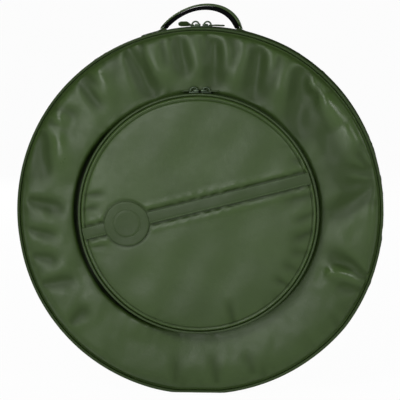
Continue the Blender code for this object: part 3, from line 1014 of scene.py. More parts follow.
@dataclass
class FrontPanel:
    """Padded front, pillowed between the rim's seam and the pocket, with its folds and its lining."""

    finishes: Finishes
    steps: int = 600
    seam: float = 0.2975
    dip: float = 0.0021
    pillow: float = 0.0098
    shoulder: float = 0.0048
    low_shoulder: float = 0.0150
    bulge_reach: float = 0.066
    groove: float = 0.0092
    groove_turn: float = -104.0
    pull_turn: float = 117.0
    pull_room: float = 0.0058
    pull_ease: float = 0.0004
    groove_ease: float = 0.0015
    fold_ease: float = 0.004
    pocket_ease: float = 0.006
    shelf_ease: float = 0.0015
    crease_full: float = 0.0026
    left_facing: Pair = (0.30, 0.62)
    groove_facing: Pair = (0.45, 0.97)
    low_heights: Pair = (-200.0, -110.0)
    shelf_reach: Pair = (0.010, 0.050)
    dent_turns: Pair = (1.4, 7.0)
    dent_radii: Pair = (0.2205, 0.2380)
    creases: tuple[Crease, ...] = (
        Crease(-118, 272, -70, 184, 6.4, 13), Crease(-98, 278, -84, 226, 2.2, 7),
        Crease(-35, 290, -20, 222, 5.6, 13), Crease(-62, 286, -50, 232, 2.0, 7),
        Crease(26, 286, 24, 200, 6.0, 15), Crease(2, 291, 6, 240, 1.7, 7),
        Crease(60, 284, 52, 226, 2.0, 8), Crease(98, 270, 91, 180, 6.4, 17),
        Crease(132, 258, 118, 200, 2.0, 9), Crease(166, 238, 166, 116, 6.4, 20),
        Crease(196, 214, 188, 176, 2.4, 8), Crease(176, 206, 262, -10, 2.6, 20),
        Crease(180, 222, 262, 116, -2.4, 12),
        Crease(287, 63, 243, 80, 3.0, 6), Crease(288, 56, 236, 44, 3.4, 7),
        Crease(284, 72, 256, 104, 2.4, 6), Crease(289, 46, 210, -8, 4.6, 13),
        Crease(279, -106, 212, -62, 5.0, 11), Crease(210, -94, 276, -104, -3.4, 10),
        Crease(270, -126, 226, -118, 3.0, 9), Crease(-228, 168, -236, 44, -2.4, 17),
        Crease(-240, 172, -198, 160, 2.0, 9), Crease(-250, 152, -210, 126, 2.2, 10),
        Crease(-264, 134, -254, 50, 4.4, 17), Crease(-284, 20, -222, 4, 4.6, 10),
        Crease(-284, -30, -236, -40, 3.0, 8), Crease(-278, -72, -232, -82, 3.0, 8),
        Crease(-262, -122, -204, -112, 3.6, 10), Crease(-214, -186, -184, -156, 2.6, 10),
        Crease(-168, 240, -144, 186, -1.8, 11), Crease(-40, -286, -36, -236, 1.6, 9),
        Crease(30, -286, 24, -232, 1.8, 9), Crease(92, -268, 78, -228, 1.5, 9),
        Crease(-196, 216, -160, 170, 3.4, 8))
    gathers: tuple[Gathers, ...] = (
        Gathers(0.2965, 1, 90, 5, 0.0019, 0.024, 0.0056, crowd=0.6, crowd_turn=12.0),
        Gathers(0.1992, -1, 46, 11, 0.0009, 0.016, 0.0055))
    drape: Drape = Drape()

    def height(self, points: Points) -> tuple[np.ndarray, np.ndarray]:
        """How far the leather stands out, and how creased it is.

        Args:
            points: the panel's points.

        Returns:
            The height in metres, and the crease mark from -2 in the trench to 1 on a ridge, which the
            leather turns into painted shade, painted highlight and, in the trench, a painted shadow near
            black.
        """
        radius, turn = radius_and_turn(points)
        to_rim = self.seam - radius
        to_pocket = radius - BAG.pocket_edge
        z = (points[:, 2] - BAG.centre_z) * MILLIMETRES
        facing = np.cos(turn - radians(self.groove_turn))
        left = smooth_step(facing, *self.left_facing)
        low = (1.0 - smooth_step(z, *self.low_heights)) * (1.0 - left)
        level = 1.0 - left - low
        groove = self.groove * (0.25 + 0.75 * smooth_step(facing, *self.groove_facing))
        trench = 1.0 / (1.0 + np.exp(-(to_pocket - groove) / self.groove_ease))
        bulge = smooth_step(to_pocket, 0.0, self.bulge_reach)
        shelf = ease_in(to_pocket, self.shelf_ease)
        shelf = shelf * (0.5 + 0.5 * smooth_step(to_pocket, *self.shelf_reach))
        seams = ease_in(to_rim, self.shoulder + (self.low_shoulder - self.shoulder) * low)
        seams = seams * (left * trench + low * bulge + level * shelf)
        folds = folded(self.creases, points) * ease_in(to_rim, self.fold_ease)
        folds = folds * ease_in(to_pocket, self.pocket_ease)
        folds += sum(gather.height(points) for gather in self.gathers)
        flat = np.column_stack((points[:, 0], points[:, 2]))
        slack = (0.0010 * wander(flat, 0.10, 3) + 0.00022 * wander(flat, 0.032, 4)) * seams
        # Painted shadow: the trench on the pocket's left is marked down to -2, which the leather paints
        # near black.
        trench_shadow = left * smooth_step(1.0 - trench, 0.05, 0.6) * ease_in(to_pocket, 0.0005)
        marks = np.clip(folds / self.crease_full, -1.0, 1.0) - 2.0 * trench_shadow
        return self.pillow * seams + slack + folds, marks

    def beside_pulls(self, points: Points) -> Points:
        """Keep the leather low where a pull stands up at either end of the pocket's zip.

        Args:
            points: the panel's points.

        Returns:
            The points, with a dent at each end.
        """
        radius, turn = radius_and_turn(points)
        away = np.abs(np.abs(np.degrees(turn)) - self.pull_turn)
        dent = (1.0 - smooth_step(away, *self.dent_turns)) * (1.0 - smooth_step(radius, *self.dent_radii))
        over = (BAG.front - points[:, 1] - self.pull_room) / self.pull_ease
        points[:, 1] += self.pull_ease * np.logaddexp(0.0, over) * dent
        return points

    def build(self) -> None:
        """Make the padded panel and the lining behind it."""
        inner = BAG.front + BAG.skin_and_foam
        outline = [(0.0, BAG.front, 10), (0.188, BAG.front, 4), (0.2, BAG.front, 36),
                   *panel_edge(BAG.front, inner, 1, self.dip)]
        panel = make_piece("front_panel", spun(outline, steps=self.steps, closed=False),
                           self.finishes.panel)
        points = read_points(panel)
        outer = points[:, 1] < BAG.front + self.dip + 0.0002
        rise, marks = self.height(points)
        points[:, 1] -= np.where(outer, rise, 0.0)
        set_points(panel, settle_rim(points))
        radius, _ = radius_and_turn(points)
        free = np.clip((self.seam - 0.001 - radius) / 0.004, 0.0, 1.0)
        free *= np.clip((radius - BAG.pocket_edge - 0.006) / 0.014, 0.0, 1.0)
        full = 0.3 + 0.7 * smooth_step(points[:, 2] - BAG.centre_z, -0.22, 0.12)
        full *= 0.35 + 0.65 * smooth_step(radius, 0.215, 0.275)
        self.drape.settle(panel, np.where(outer, free, 0.0), full)
        move_points(panel, self.beside_pulls)
        # The crease mark gives painted shade in the folds, painted highlight on their ridges and painted
        # shadow in the trench.
        write_value(panel, "crease", np.where(outer, marks, 0.0))
        show(panel, ("cover_skin", "cover_foam", "front_lower_skin", "front_lower_foam"),
             across=COVER_FOLD)
        lining_panel("front_lining", self.finishes, BAG.panel, inner + BAG.lining_gap, 1, 21,
                     ("cover_lining", "front_lower_lining"), across=COVER_FOLD)


def lining_panel(name: str, finishes: Finishes, radius: float, face: float, inward: int, seed: int,
                 nodes: Sequence[str], body: str | None = None,
                 across: Fold | None = None,
                 thickness: float = BAG.lining) -> None:
    """Thin cloth disc behind a padded panel, a little slack towards the inside.

    Args:
        name: the piece's name.
        finishes: the bag's finishes.
        radius: the panel's radius.
        face: y of its side on the foam.
        inward: 1 where the inside of the bag is behind it, -1 where it is in front.
        seed: which unevenness.
        nodes: the frame's nodes that it stands for.
        body: the body that it rides on, if it is one.
        across: two bodies and the heights of the fold, if it crosses one.
        thickness: of the cloth.
    """
    near = radius - 0.012
    inside = face + inward * thickness
    outline = [(0.0, face, 8), (radius, face, 0), (radius, inside, 1), (near, inside, 20),
               (0.0, inside, 0)]
    piece = make_piece(name, spun(outline, steps=180, closed=False), finishes.lining)
    points = read_points(piece)
    slack = 0.00035 * (1.0 + np.clip(wander(points[:, [0, 2]], 0.06, seed), -1.0, 1.0))
    distance, _ = radius_and_turn(points)
    loose = np.abs(points[:, 1] - inside) < 1e-5
    points[:, 1] -= np.where(loose, inward * slack * ease_in(radius - distance, 0.02), 0.0)
    set_points(piece, settle_rim(points))
    show(piece, nodes, body=body, across=across)


@dataclass
class BackPanel:
    """Plain padded back with gathers round its seam, and its lining."""

    finishes: Finishes
    steps: int = 480
    pillow: float = 0.0060
    dip: float = 0.0021
    seam: float = 0.2975
    shoulder: float = 0.016
    crease_full: float = 0.0016
    creases: tuple[Crease, ...] = (
        Crease(30, 288, 18, 190, 2.4, 12), Crease(-120, 262, -70, 150, 2.6, 13),
        Crease(150, 246, 100, 170, 2.4, 12), Crease(276, 84, 190, 40, 2.4, 12),
        Crease(-284, 40, -190, 30, 2.4, 12), Crease(262, -120, 196, -96, 2.0, 10),
        Crease(-256, -130, -176, -84, 2.2, 12), Crease(-206, 200, -150, 150, 2.0, 11))
    gathers: tuple[Gathers, ...] = (Gathers(0.2965, 1, 96, 31, 0.0011, 0.026, 0.0055, crowd=0.3),)

    def build(self) -> None:
        """Make the padded panel and the lining in front of it."""
        inner = BAG.back - BAG.skin_and_foam
        outline = [(0.0, BAG.back, 30), *panel_edge(BAG.back, inner, -1, self.dip)]
        panel = make_piece("back_panel", spun(outline, steps=self.steps, closed=False),
                           self.finishes.panel)
        points = read_points(panel)
        outer = points[:, 1] > BAG.back - 0.0023
        radius, _ = radius_and_turn(points)
        seam = ease_in(self.seam - radius, self.shoulder)
        folds = folded(self.creases, points) * seam
        folds += sum(gather.height(points) for gather in self.gathers)
        slack = 0.0011 * wander(points[:, [0, 2]], 0.13, 33) * seam
        points[:, 1] += np.where(outer, self.pillow * seam + slack + folds, 0.0)
        set_points(panel, settle_rim(points))
        # The folds' crease mark gives painted shade in the valleys and painted highlight on the ridges.
        marks = np.clip(folds / self.crease_full, -1.0, 1.0)
        write_value(panel, "crease", np.where(outer, marks, 0.0))
        show(panel, ("back_panel_skin", "back_panel_foam"),
             body="bag_body")
        lining_panel("back_lining", self.finishes, BAG.panel, inner - BAG.lining_gap, -1, 23,
                     ("back_panel_lining",), body="bag_body")


@dataclass
class RimWall:
    """Padded wall round the rim in three stretches, their linings, seams' stitches and piping."""

    finishes: Finishes
    foam_inner: float = 0.2973
    foam_outer: float = 0.3021
    lining_outer: float = 0.2969
    lining_inner: float = 0.2959
    bulge: float = 0.0009
    anchor_turn: float = 15.0
    stitch_pitch: float = 0.0043
    stitch: Triple = (0.0031, 0.0007, 0.0007)
    stitch_skew: float = 7.0
    piping: float = 0.0025
    piping_radius: float = 0.3025
    piping_out: float = 0.001
    skin_from: float = 0.3034
    skin_rise: float = 0.0005
    edge_ease: float = 0.0006
    edge_round: float = 0.0004
    edge_step: float = 0.0001
    joint: float = 0.05
    rear_foam: Pair = (0.0079, 0.0396)
    front_foam: Pair = (-0.0079, 0.0072)
    rear_skin: Pair = (0.0168, 0.0442)
    lower_skin: Pair = (-0.0132, 0.0163)
    front_skin: Pair = (-0.0132, -0.0020)
    rear_row: float = 0.0191
    front_row: float = -0.0043

    def wall(self, name: str, foam: Pair, skin: Pair, start: float,
             end: float, nodes: Sequence[str], body: str, seed: int) -> None:
        """One padded stretch of the wall.

        Args:
            name: the piece's name.
            foam: lowest and highest y of its foam.
            skin: lowest and highest y of its leather.
            start: first turn.
            end: last turn.
            nodes: the frame's nodes that it stands for.
            body: the body that it rides on.
            seed: which unevenness.
        """
        front, back = skin
        near, far = foam
        outline = [(self.foam_inner, near, 2), (self.foam_inner, far, 0), (self.foam_outer, far, 0)]
        low, high = self.foam_outer + self.edge_round, BAG.wall - self.edge_round
        outline += [(low, back, 0), (high, back - self.edge_step, 0),
                    (BAG.wall, back - self.edge_ease, 9), (BAG.wall, front + self.edge_ease, 0),
                    (high, front + self.edge_step, 0), (low, front, 0), (self.foam_outer, near, 0)]
        steps = round((end - start) * 1.4)
        piece = make_piece(name, spun(outline, start, end, steps), self.finishes.wall)
        points = read_points(piece)
        radius, turn = radius_and_turn(points)
        across = across_band(points, front, back)
        outer = np.clip((radius - self.skin_from) / self.skin_rise, 0.0, 1.0) * (1.0 - across ** 2)
        round_map = np.column_stack((turn * BAG.wall, points[:, 1] * 2.0))
        wrinkle = 0.5 * wander(round_map, 0.030, seed) + 0.25 * wander(round_map, 0.011, seed + 1)
        bare = 1.0 - np.exp(-((np.abs(np.degrees(turn)) - self.anchor_turn) / 8.0) ** 2)
        push = self.bulge * outer * (1.0 + wrinkle) * bare
        set_points(piece, settle_rim(scale_out(points, 1.0 + push / radius)))
        # The wrinkles set the crease mark, which paints shade in their hollows and highlight on their
        # crests.
        write_value(piece, "crease", np.clip(wrinkle * outer * 0.4, -1.0, 1.0))
        show(piece, nodes, body=body)

    def lining(self, name: str, front: float, back: float, start: float, end: float, node: str,
               body: str) -> None:
        """Lining of one stretch.

        Args:
            name: the piece's name.
            front: lowest y.
            back: highest y.
            start: first turn.
            end: last turn.
            node: the frame's node that it stands for.
            body: the body that it rides on.
        """
        outline = band_outline(self.lining_inner, self.lining_outer, front, back, 5, 0.0003)
        bm = spun(outline, start, end, round(end - start))
        piece = make_piece(name, bm, self.finishes.lining)
        move_points(piece, settle_rim)
        show(piece, (node,), body=body)

    def stitches(self, name: str, y: float, start: float, end: float, body: str, slot: str) -> None:
        """A row of stitches round the wall.

        Args:
            name: the piece's name.
            y: the row's depth.
            start: first turn.
            end: last turn.
            body: the body that it rides on.
            slot: not used.
        """
        places = rim_row(BAG.wall + BAG.stitch_lift, y, start, end, self.stitch_pitch,
                         self.stitch_skew)
        row = beads(name, places, self.stitch, self.finishes.thread)
        move_points(row, settle_rim)
        show(row, body=body)

    def piping_ring(self, name: str, y: float, nodes: Sequence[str], seed: int,
                    body: str | None = None,
                    across: Fold | None = None) -> None:
        """Piping round one edge.

        Args:
            name: the piece's name.
            y: depth of its middle line.
            nodes: the frame's nodes that it stands for.
            seed: which unevenness.
            body: the body that it rides on, if it is one.
            across: two bodies and the heights of the fold, if it crosses one.
        """
        bm = spun(cord_outline(self.piping_radius, y, self.piping), steps=540)
        piece = make_piece(name, bm, self.finishes.cord)
        points = read_points(piece)
        _, turn = radius_and_turn(points)
        along = turn[:, None] * BAG.edge
        points[:, 1] += 0.00022 * wander(along, 0.021, seed) * (np.cos(turn) * 0.3 + 0.7)
        set_points(piece, settle_rim(points))
        show(piece, nodes, body=body, across=across)

    def build(self) -> None:
        """Make the wall's stretches, linings, stitches and piping."""
        end, low, gap = BAG.zip_end, FULL_TURN - BAG.zip_end, self.joint
        stretches = (("rear", self.rear_foam, self.rear_skin, 0.0, FULL_TURN, "bag_body", 41),
                     ("lower", self.front_foam, self.lower_skin, end + gap, low - gap, "bag_body", 43),
                     ("front", self.front_foam, self.front_skin, -end + gap, end - gap, "cover", 45))
        for part, foam, skin, start, stop, body, seed in stretches:
            self.wall(f"{part}_wall", foam, skin, start, stop,
                      (f"{part}_gusset_skin", f"{part}_gusset_foam"), body, seed)
        for part, foam, _, start, stop, body, _ in stretches:
            self.lining(f"{part}_wall_lining", *foam, start, stop, f"{part}_gusset_lining", body)
        self.stitches("rear_wall_stitches", self.rear_row, -end, end, "bag_body", "rear_gusset_skin")
        self.stitches("front_wall_stitches", self.front_row, -end, end, "cover", "front_gusset_skin")
        self.piping_ring("front_piping", BAG.front - self.piping_out + self.piping,
                         ("front_piping_upper", "front_piping_lower"), 51, across=COVER_FOLD)
        self.piping_ring("rear_piping", BAG.back + self.piping_out - self.piping, ("back_piping",),
                         53, body="bag_body")


# Zips

@dataclass
class Zip:
    """A coil zip round a wall: two woven tapes with a coil each."""

    finishes: Finishes
    name: str
    y: float
    tape_top: float
    tape_width: float
    coil_width: float
    end: float
    front_body: str
    rear_body: str
    drawn_in: bool
    pitch: float = 0.0026
    tape_thickness: float = 0.0005
    coil_height: float = 0.0015
    seat: float = 0.0003
    bite: float = 0.0003
    gap: float = 0.00015
    coil_inset: float = 0.2
    slider_room: float = 0.3
    turn_share: float = 0.62
    turn_skew: float = 10.0

    @property
    def coil_top(self) -> float:
        """Radius of the coils' outer side."""
        return self.tape_top + self.seat + self.coil_height

    def build(self) -> None:
        """Make the tapes and coils of both halves."""
        for half, side, body in (("front", -1, self.front_body), ("rear", 1, self.rear_body)):
            near, far = sorted((self.y + side * self.gap, self.y + side * self.tape_width))
            bm = spun(band_outline(self.tape_top - self.tape_thickness, self.tape_top, near, far, 3,
                                   0.0001), -self.end, self.end, round(self.end * 1.5))
            tape = make_piece(f"{self.name}_zip_tape_{half}", bm, self.finishes.tape)
            write_uv(tape, round_rim)
            node = f"{self.name}_zip_{half}_tape"
            middle = self.tape_top + self.seat + self.coil_height / 2
            width = self.coil_width + self.bite
            shift = 0.0 if side > 0 else degrees(self.pitch / 2 / middle)
            places = rim_row(middle, self.y + side * (width / 2 - self.bite),
                             -self.end + self.coil_inset + shift,
                             self.end - self.coil_inset + shift - self.slider_room, self.pitch,
                             self.turn_skew)
            coil = beads(f"{self.name}_zip_coil_{half}", places,
                         (self.pitch * self.turn_share, width, self.coil_height), self.finishes.coil, 8, 5)
            coil_node = f"{self.name}_zip_{half}_coil"
            for piece, name in ((tape, node), (coil, coil_node)):
                if self.drawn_in:
                    move_points(piece, SWELL.move)
                show(piece, (name,), body=body)


@dataclass
class SliderPair:
    """Two zip sliders nose to nose at the top of a zip, each with an arched bail and a leather pull."""

    finishes: Finishes
    zip: Zip
    pull_length: float
    length: float = 0.017
    width: float = 0.011
    plate: float = 0.0016
    clearance: float = 0.0008
    lip: float = 0.0013
    lip_gap: float = 0.0004
    bail: float = 0.0058
    wire: float = 0.0014
    pull_width: float = 0.009
    pull_thickness: float = 0.002
    hole: float = 0.0034
    park_x: float = 0.002
    spacing: float = 0.0195
    tail_share: float = 0.72
    curl: float = 0.62
    pull_gap: float = 0.0003
    bail_reach: float = 98.0

    @property
    def plate_low(self) -> float:
        """Radius of the plate's inner side."""
        return self.zip.coil_top + self.clearance

    @property
    def pivot(self) -> float:
        """Radius at which the pull turns in its bail."""
        return self.plate_low + self.plate + self.pull_thickness / 2 + self.pull_gap

    def place(self, away: float) -> Matrix:
        """Where a slider stands: x along the zip, y along the bag's axis and z outward from it."""
        turn = (self.park_x + away * self.spacing / 2) / self.zip.coil_top
        return Matrix.Rotation(turn, 4, "Y")

    def body(self, away: float) -> bmesh.types.BMesh:
        """The slider's plate with its raised spine, its lip and its bail.

        Args:
            away: 1 for the slider on the right, -1 for the one on the left.

        Returns:
            The shape, about the bag's centre.
        """
        plate_high = self.plate_low + self.plate
        lip_inner = self.zip.y + self.zip.gap + self.zip.coil_width + self.lip_gap
        rear = lip_inner + self.lip
        front = rear - self.width
        bm = bmesh.new()
        middle_y, middle_z = (front + rear) / 2, (self.plate_low + plate_high) / 2
        rounded_box(bm, (0.0, middle_y, middle_z), (self.length, self.width, self.plate), 0.00055)
        lip_low = self.zip.tape_top + self.lip_gap
        rounded_box(bm, (0.0, rear - self.lip / 2, (lip_low + plate_high) / 2),
                    (self.length, self.lip, plate_high - lip_low), 0.0004)
        rounded_box(bm, (0.0, self.zip.y, plate_high + 0.0002),
                    (self.length * 0.86, 0.0032, 0.0014), 0.0005)
        rounded_box(bm, (-away * 0.0036, self.zip.y, plate_high + 0.0016), (0.0092, 0.0068, 0.0036),
                    0.0011)
        for side in (-1.0, 1.0):
            rounded_box(bm, (side * self.bail, self.zip.y, plate_high + 0.0002),
                        (0.0034, 0.0046, 0.0018), 0.0006)
        for vert in bm.verts:
            share = (1.0 + away * vert.co.x / (self.length / 2)) / 2
            narrow = 1.0 - (1.0 - self.tail_share) * max(0.0, min(1.0, share))
            if vert.co.y < self.zip.y:
                vert.co.y = self.zip.y + (vert.co.y - self.zip.y) * narrow
        arch = spun(cord_outline(self.bail, 0.0, self.wire, 10), -self.bail_reach, self.bail_reach, 22)
        bmesh.ops.translate(arch, verts=arch.verts, vec=(0.0, self.zip.y, self.pivot))
        mesh = bpy.data.meshes.new("bail")
        arch.to_mesh(mesh)
        arch.free()
        bm.from_mesh(mesh)
        bpy.data.meshes.remove(mesh)
        bmesh.ops.transform(bm, matrix=self.place(away), verts=bm.verts)
        return bm

    def pull(self, away: float, twist: float) -> bmesh.types.BMesh:
        """A leather pull whose slot rides on the bail, lying away from the zip's middle.

        Args:
            away: 1 to the right, -1 to the left.
            twist: turn of its far end about its length, in degrees.

        Returns:
            The shape, about the bag's centre.
        """
        near = self.bail - self.hole
        length = self.pull_length
        half = self.pull_width / 2
        bm = bmesh.new()
        bmesh.ops.create_grid(bm, x_segments=26, y_segments=8, size=0.5)
        hole = [face for face in bm.faces
                if abs((face.calc_center_median().x + 0.5) * length + near - self.bail) < self.hole / 2
                and abs(face.calc_center_median().y) * 2 * half < self.hole / 2]
        bmesh.ops.delete(bm, geom=hole, context="FACES")
        for vert in bm.verts:
            along = vert.co.x + 0.5
            shape = min(1.0, 0.62 + 4.0 * along) * min(1.0, 0.50 + 3.2 * (1.0 - along))
            vert.co.y *= 2 * half * shape
            vert.co.x = near + along * length
        bmesh.ops.solidify(bm, geom=bm.faces[:], thickness=self.pull_thickness)
        bmesh.ops.translate(bm, verts=bm.verts, vec=(0.0, 0.0, -self.pull_thickness / 2
                                                     - min(vert.co.z for vert in bm.verts)))
        edges = [edge for edge in bm.edges if edge.is_manifold and edge.calc_face_angle() > 1.0]
        bmesh.ops.bevel(bm, geom=edges, offset=0.0005, segments=2, profile=0.5, affect="EDGES",
                        material=-1)
        for vert in bm.verts:
            along = min(1.0, max(0.0, (vert.co.x - near - 0.16 * length) / (0.30 * length)))
            turn = radians(twist) * along
            y, z = vert.co.y, vert.co.z
            vert.co.y = y * cos(turn) - z * sin(turn)
            vert.co.z = y * sin(turn) + z * cos(turn) + self.curl * half * abs(sin(turn))
        if away < 0:
            bmesh.ops.rotate(bm, verts=bm.verts, cent=(0, 0, 0), matrix=Matrix.Rotation(pi, 3, "Z"))
        frame_here = self.place(away) @ Matrix.Translation((0.0, self.zip.y, self.pivot))
        bmesh.ops.transform(bm, matrix=frame_here, verts=bm.verts)
        return bm

    def build(self, twists: Pair) -> None:
        """Make both sliders and both pulls.

        Args:
            twists: turn of the left and of the right pull's far end.
        """
        for side, away, twist in (("left", -1.0, twists[0]), ("right", 1.0, twists[1])):
            node = f"{self.zip.name}_slider_{side}"
            slider = make_piece(f"{self.zip.name}_zip_slider_{side}", self.body(away),
                                self.finishes.metal, sharp=50.0)
            show(slider, (node,), body=node)
            node = f"{self.zip.name}_pull_{side}"
            tab = make_piece(f"{self.zip.name}_zip_pull_{side}", self.pull(away, twist),
                             self.finishes.patch, sharp=50.0)
            show(tab, (node,), body=node)


def rounded_box(bm: bmesh.types.BMesh, middle: Sequence[float], size: Sequence[float],
                ease: float) -> None:
    """Add a box with rounded edges.

    Args:
        bm: the bmesh that it joins.
        middle: its middle.
        size: its three sides.
        ease: radius of its edges.
    """
    made = bmesh.ops.create_cube(bm, size=1.0)["verts"]
    bmesh.ops.scale(bm, verts=made, vec=size)
    bmesh.ops.translate(bm, verts=made, vec=middle)
    edges = list({edge for vert in made for edge in vert.link_edges})
    bmesh.ops.bevel(bm, geom=edges, offset=ease, segments=3, profile=0.5, affect="EDGES",
                    material=-1)


# Pocket

@dataclass
class Pocket:
    """Round zipped pocket on the front: walls, padded face, lining, piping, strip and badge."""

    finishes: Finishes
    steps: int = 480
    skin: float = 0.0015
    skin_and_foam: float = 0.0058
    lining: float = 0.0008
    piping: float = 0.002
    crown: float = 0.0044
    bead: float = 0.1915
    strip_turn: float = 14.3
    strip_lift: float = 0.0139
    strip_width: float = 0.020
    strip_thickness: float = 0.0016
    badge_radius: float = 0.037
    badge_x: float = -0.11702
    badge_z: float = -0.01548
    crease_full: float = 0.0012
    joint: float = 0.05
    wall_push: float = 0.0004
    rear_wall: Pair = (-0.02155, -0.0178)
    front_wall: Pair = (-0.0422, -0.03545)
    lower_wall: Pair = (-0.0422, -0.02185)
    stitch_pitch: float = 0.0042
    wall_row: float = -0.0374
    wall_stitch: Triple = (0.003, 0.0006, 0.0006)
    strip_stitch: Triple = (0.003, 0.0006, 0.0007)
    strip_row: float = 0.0022
    strip_steps: int = 150
    badge_thickness: float = 0.0022
    badge_sink: float = 0.0018
    creases: tuple[Crease, ...] = (
        Crease(188, 84, 150, 92, 0.8, 6), Crease(190, 74, 152, 66, 0.9, 6),
        Crease(184, 94, 160, 112, 0.8, 5), Crease(190, 34, 136, 22, 0.9, 9),
        Crease(192, 4, 156, -12, 0.9, 7), Crease(190, -26, 150, -44, 0.9, 9),
        Crease(182, -62, 148, -60, 0.8, 8), Crease(168, -94, 138, -78, 0.8, 8),
        Crease(150, -118, 124, -102, 1.0, 6), Crease(-190, 30, -152, 34, 1.0, 5),
        Crease(-192, 6, -164, 12, 0.9, 4), Crease(-186, -56, -150, -52, 0.8, 5),
        Crease(60, -180, 50, -140, 0.9, 7))
    gathers: tuple[Gathers, ...] = (Gathers(0.1940, 1, 44, 71, 0.0005, 0.017, 0.0052, crowd=0.3,
                                            crowd_turn=110.0),)

    def from_strip(self, points: Points) -> tuple[np.ndarray, np.ndarray]:
        """Each point's place along the strip and across it from its middle line."""
        rise = radians(self.strip_turn)
        z = points[:, 2] - BAG.centre_z
        along = points[:, 0] * cos(rise) + z * sin(rise)
        return along, z * cos(rise) - points[:, 0] * sin(rise) - self.strip_lift

    def crowned(self, points: Points) -> np.ndarray:
        """How far the face stands out under the strip and the badge, in metres."""
        radius, turn = radius_and_turn(points)
        top = smooth_step(np.cos(turn), 0.55, 0.97)
        seam = 1.0 - np.exp(-np.maximum(BAG.pocket_panel - radius, 0.0) / (0.015 - 0.0055 * top))
        crown = self.crown * (1.0 + 0.2 * top * smooth_step(radius, 0.10, 0.18))
        return (crown + 0.0005 * wander(points[:, [0, 2]], 0.09, 73)) * seam

    def face(self) -> None:
        """The padded face, crowned and gathered, with the press marks beside the strip and badge."""
        inner = BAG.pocket_front + self.skin_and_foam
        outline = [(0.0, BAG.pocket_front, 60), (0.1850, BAG.pocket_front, 12),
                   (0.1936, BAG.pocket_front + 0.0016, 1),
                   (BAG.pocket_panel, BAG.pocket_front + 0.003, 1), (BAG.pocket_panel, inner, 8),
                   (0.0, inner, 0)]
        panel = make_piece("pocket_face", spun(outline, steps=self.steps, closed=False),
                           self.finishes.panel)
        points = read_points(panel)
        outer = points[:, 1] < BAG.pocket_front + 0.0017
        radius, _ = radius_and_turn(points)
        seam = ease_in(BAG.pocket_panel - radius, 0.006)
        folds = folded(self.creases, points) * seam
        folds += sum(gather.height(points) for gather in self.gathers)
        along, across = self.from_strip(points)
        from_edge = np.abs(across) - self.strip_width / 2
        tug = 1.0 + 0.16 * wander(along[:, None], 0.026, 75)
        groove = -0.0020 * np.exp(-((from_edge - 0.0012) / 0.0033) ** 2) * tug
        shoulder = 0.0007 * np.exp(-((from_edge - 0.0095) / 0.0052) ** 2) * tug
        from_badge = np.hypot(points[:, 0] - self.badge_x,
                              points[:, 2] - BAG.centre_z - self.badge_z) - self.badge_radius
        clear = 1.0 - np.exp(-(np.maximum(from_badge, 0.0) / 0.004) ** 2)
        ring = -0.0008 * np.exp(-((from_badge - 0.0008) / 0.0022) ** 2)
        press = (groove + shoulder) * clear + ring
        under = np.exp(-(np.minimum(from_edge, 0.0) / 0.003) ** 2)
        press = np.where(from_edge < 0.0, press * under - 0.0004 * (1.0 - under), press) * seam
        bead = (0.0012 * np.exp(-((radius - self.bead) / 0.0014) ** 2)
                - 0.0012 * np.exp(-((radius - self.bead + 0.0032) / 0.0012) ** 2))
        press = press + bead
        rise = self.crowned(points) + folds * np.clip(from_edge / 0.006, 0.0, 1.0) + press
        points[:, 1] -= np.where(outer, rise, 0.0)
        set_points(panel, points)
        # The crease mark paints shade in the folds and press grooves, darker still toward black in the
        # deepest grooves, and paints highlight on the ridges.
        marks = np.clip((folds + press) / self.crease_full, -1.3, 1.0)
        write_value(panel, "crease", np.where(outer, marks, 0.0))
        show(panel,
             ("pocket_flap_skin", "pocket_flap_foam", "pocket_lower_skin", "pocket_lower_foam"),
             across=POCKET_FOLD)
        lining_panel("pocket_face_lining", self.finishes, BAG.pocket_panel, inner + BAG.lining_gap, 1,
                     25, ("pocket_flap_lining", "pocket_lower_lining"), across=POCKET_FOLD,
                     thickness=self.lining)

    def walls(self) -> None:
        """The leather strips of the wall on both sides of the zip, and the piping."""
        inner = BAG.pocket - self.skin
        end = BAG.pocket_zip_end
        low, gap = FULL_TURN - end, self.joint
        stretches = (
            ("behind_zip", "rear", self.rear_wall, 0.0, FULL_TURN, "cover"),
            ("before_zip", "front", self.front_wall, -end + gap, end - gap, "pocket_flap"),
            ("below", "lower", self.lower_wall, end + gap, low - gap, "cover"))
        for place, part, (front, back), start, stop, body in stretches:
            bm = spun(band_outline(inner, BAG.pocket, front, back, 5, 0.0005), start, stop,
                      round((stop - start) * 1.2))
            wall = make_piece(f"pocket_wall_{place}", bm, self.finishes.wall)
            points = read_points(wall)
            radius, turn = radius_and_turn(points)
            across = across_band(points, front, back)
            outer = np.clip((radius - inner - 0.0009) / 0.0004, 0.0, 1.0) * (1.0 - across ** 2)
            push = self.wall_push * outer * (1.0 + wander(turn[:, None] * BAG.pocket, 0.02, 77))
            set_points(wall, scale_out(points, 1.0 + push / radius))
            show(wall, (f"pocket_wall_{part}",), body=body)
        ring = make_piece("pocket_piping", spun(
            cord_outline(BAG.pocket_edge - self.piping, BAG.pocket_front - 0.001 + self.piping,
                         self.piping), steps=420), self.finishes.trim)
        points = read_points(ring)
        _, turn = radius_and_turn(points)
        points[:, 1] += 0.00018 * wander(turn[:, None] * BAG.pocket, 0.018, 79)
        set_points(ring, points)
        show(ring, ("pocket_piping_upper", "pocket_piping_lower"),
             across=POCKET_FOLD)
        places = rim_row(BAG.pocket + BAG.stitch_lift, self.wall_row, -end, end, self.stitch_pitch, 7.0)
        row = beads("pocket_wall_stitches", places, self.wall_stitch, self.finishes.thread)
        show(row, body="pocket_flap")

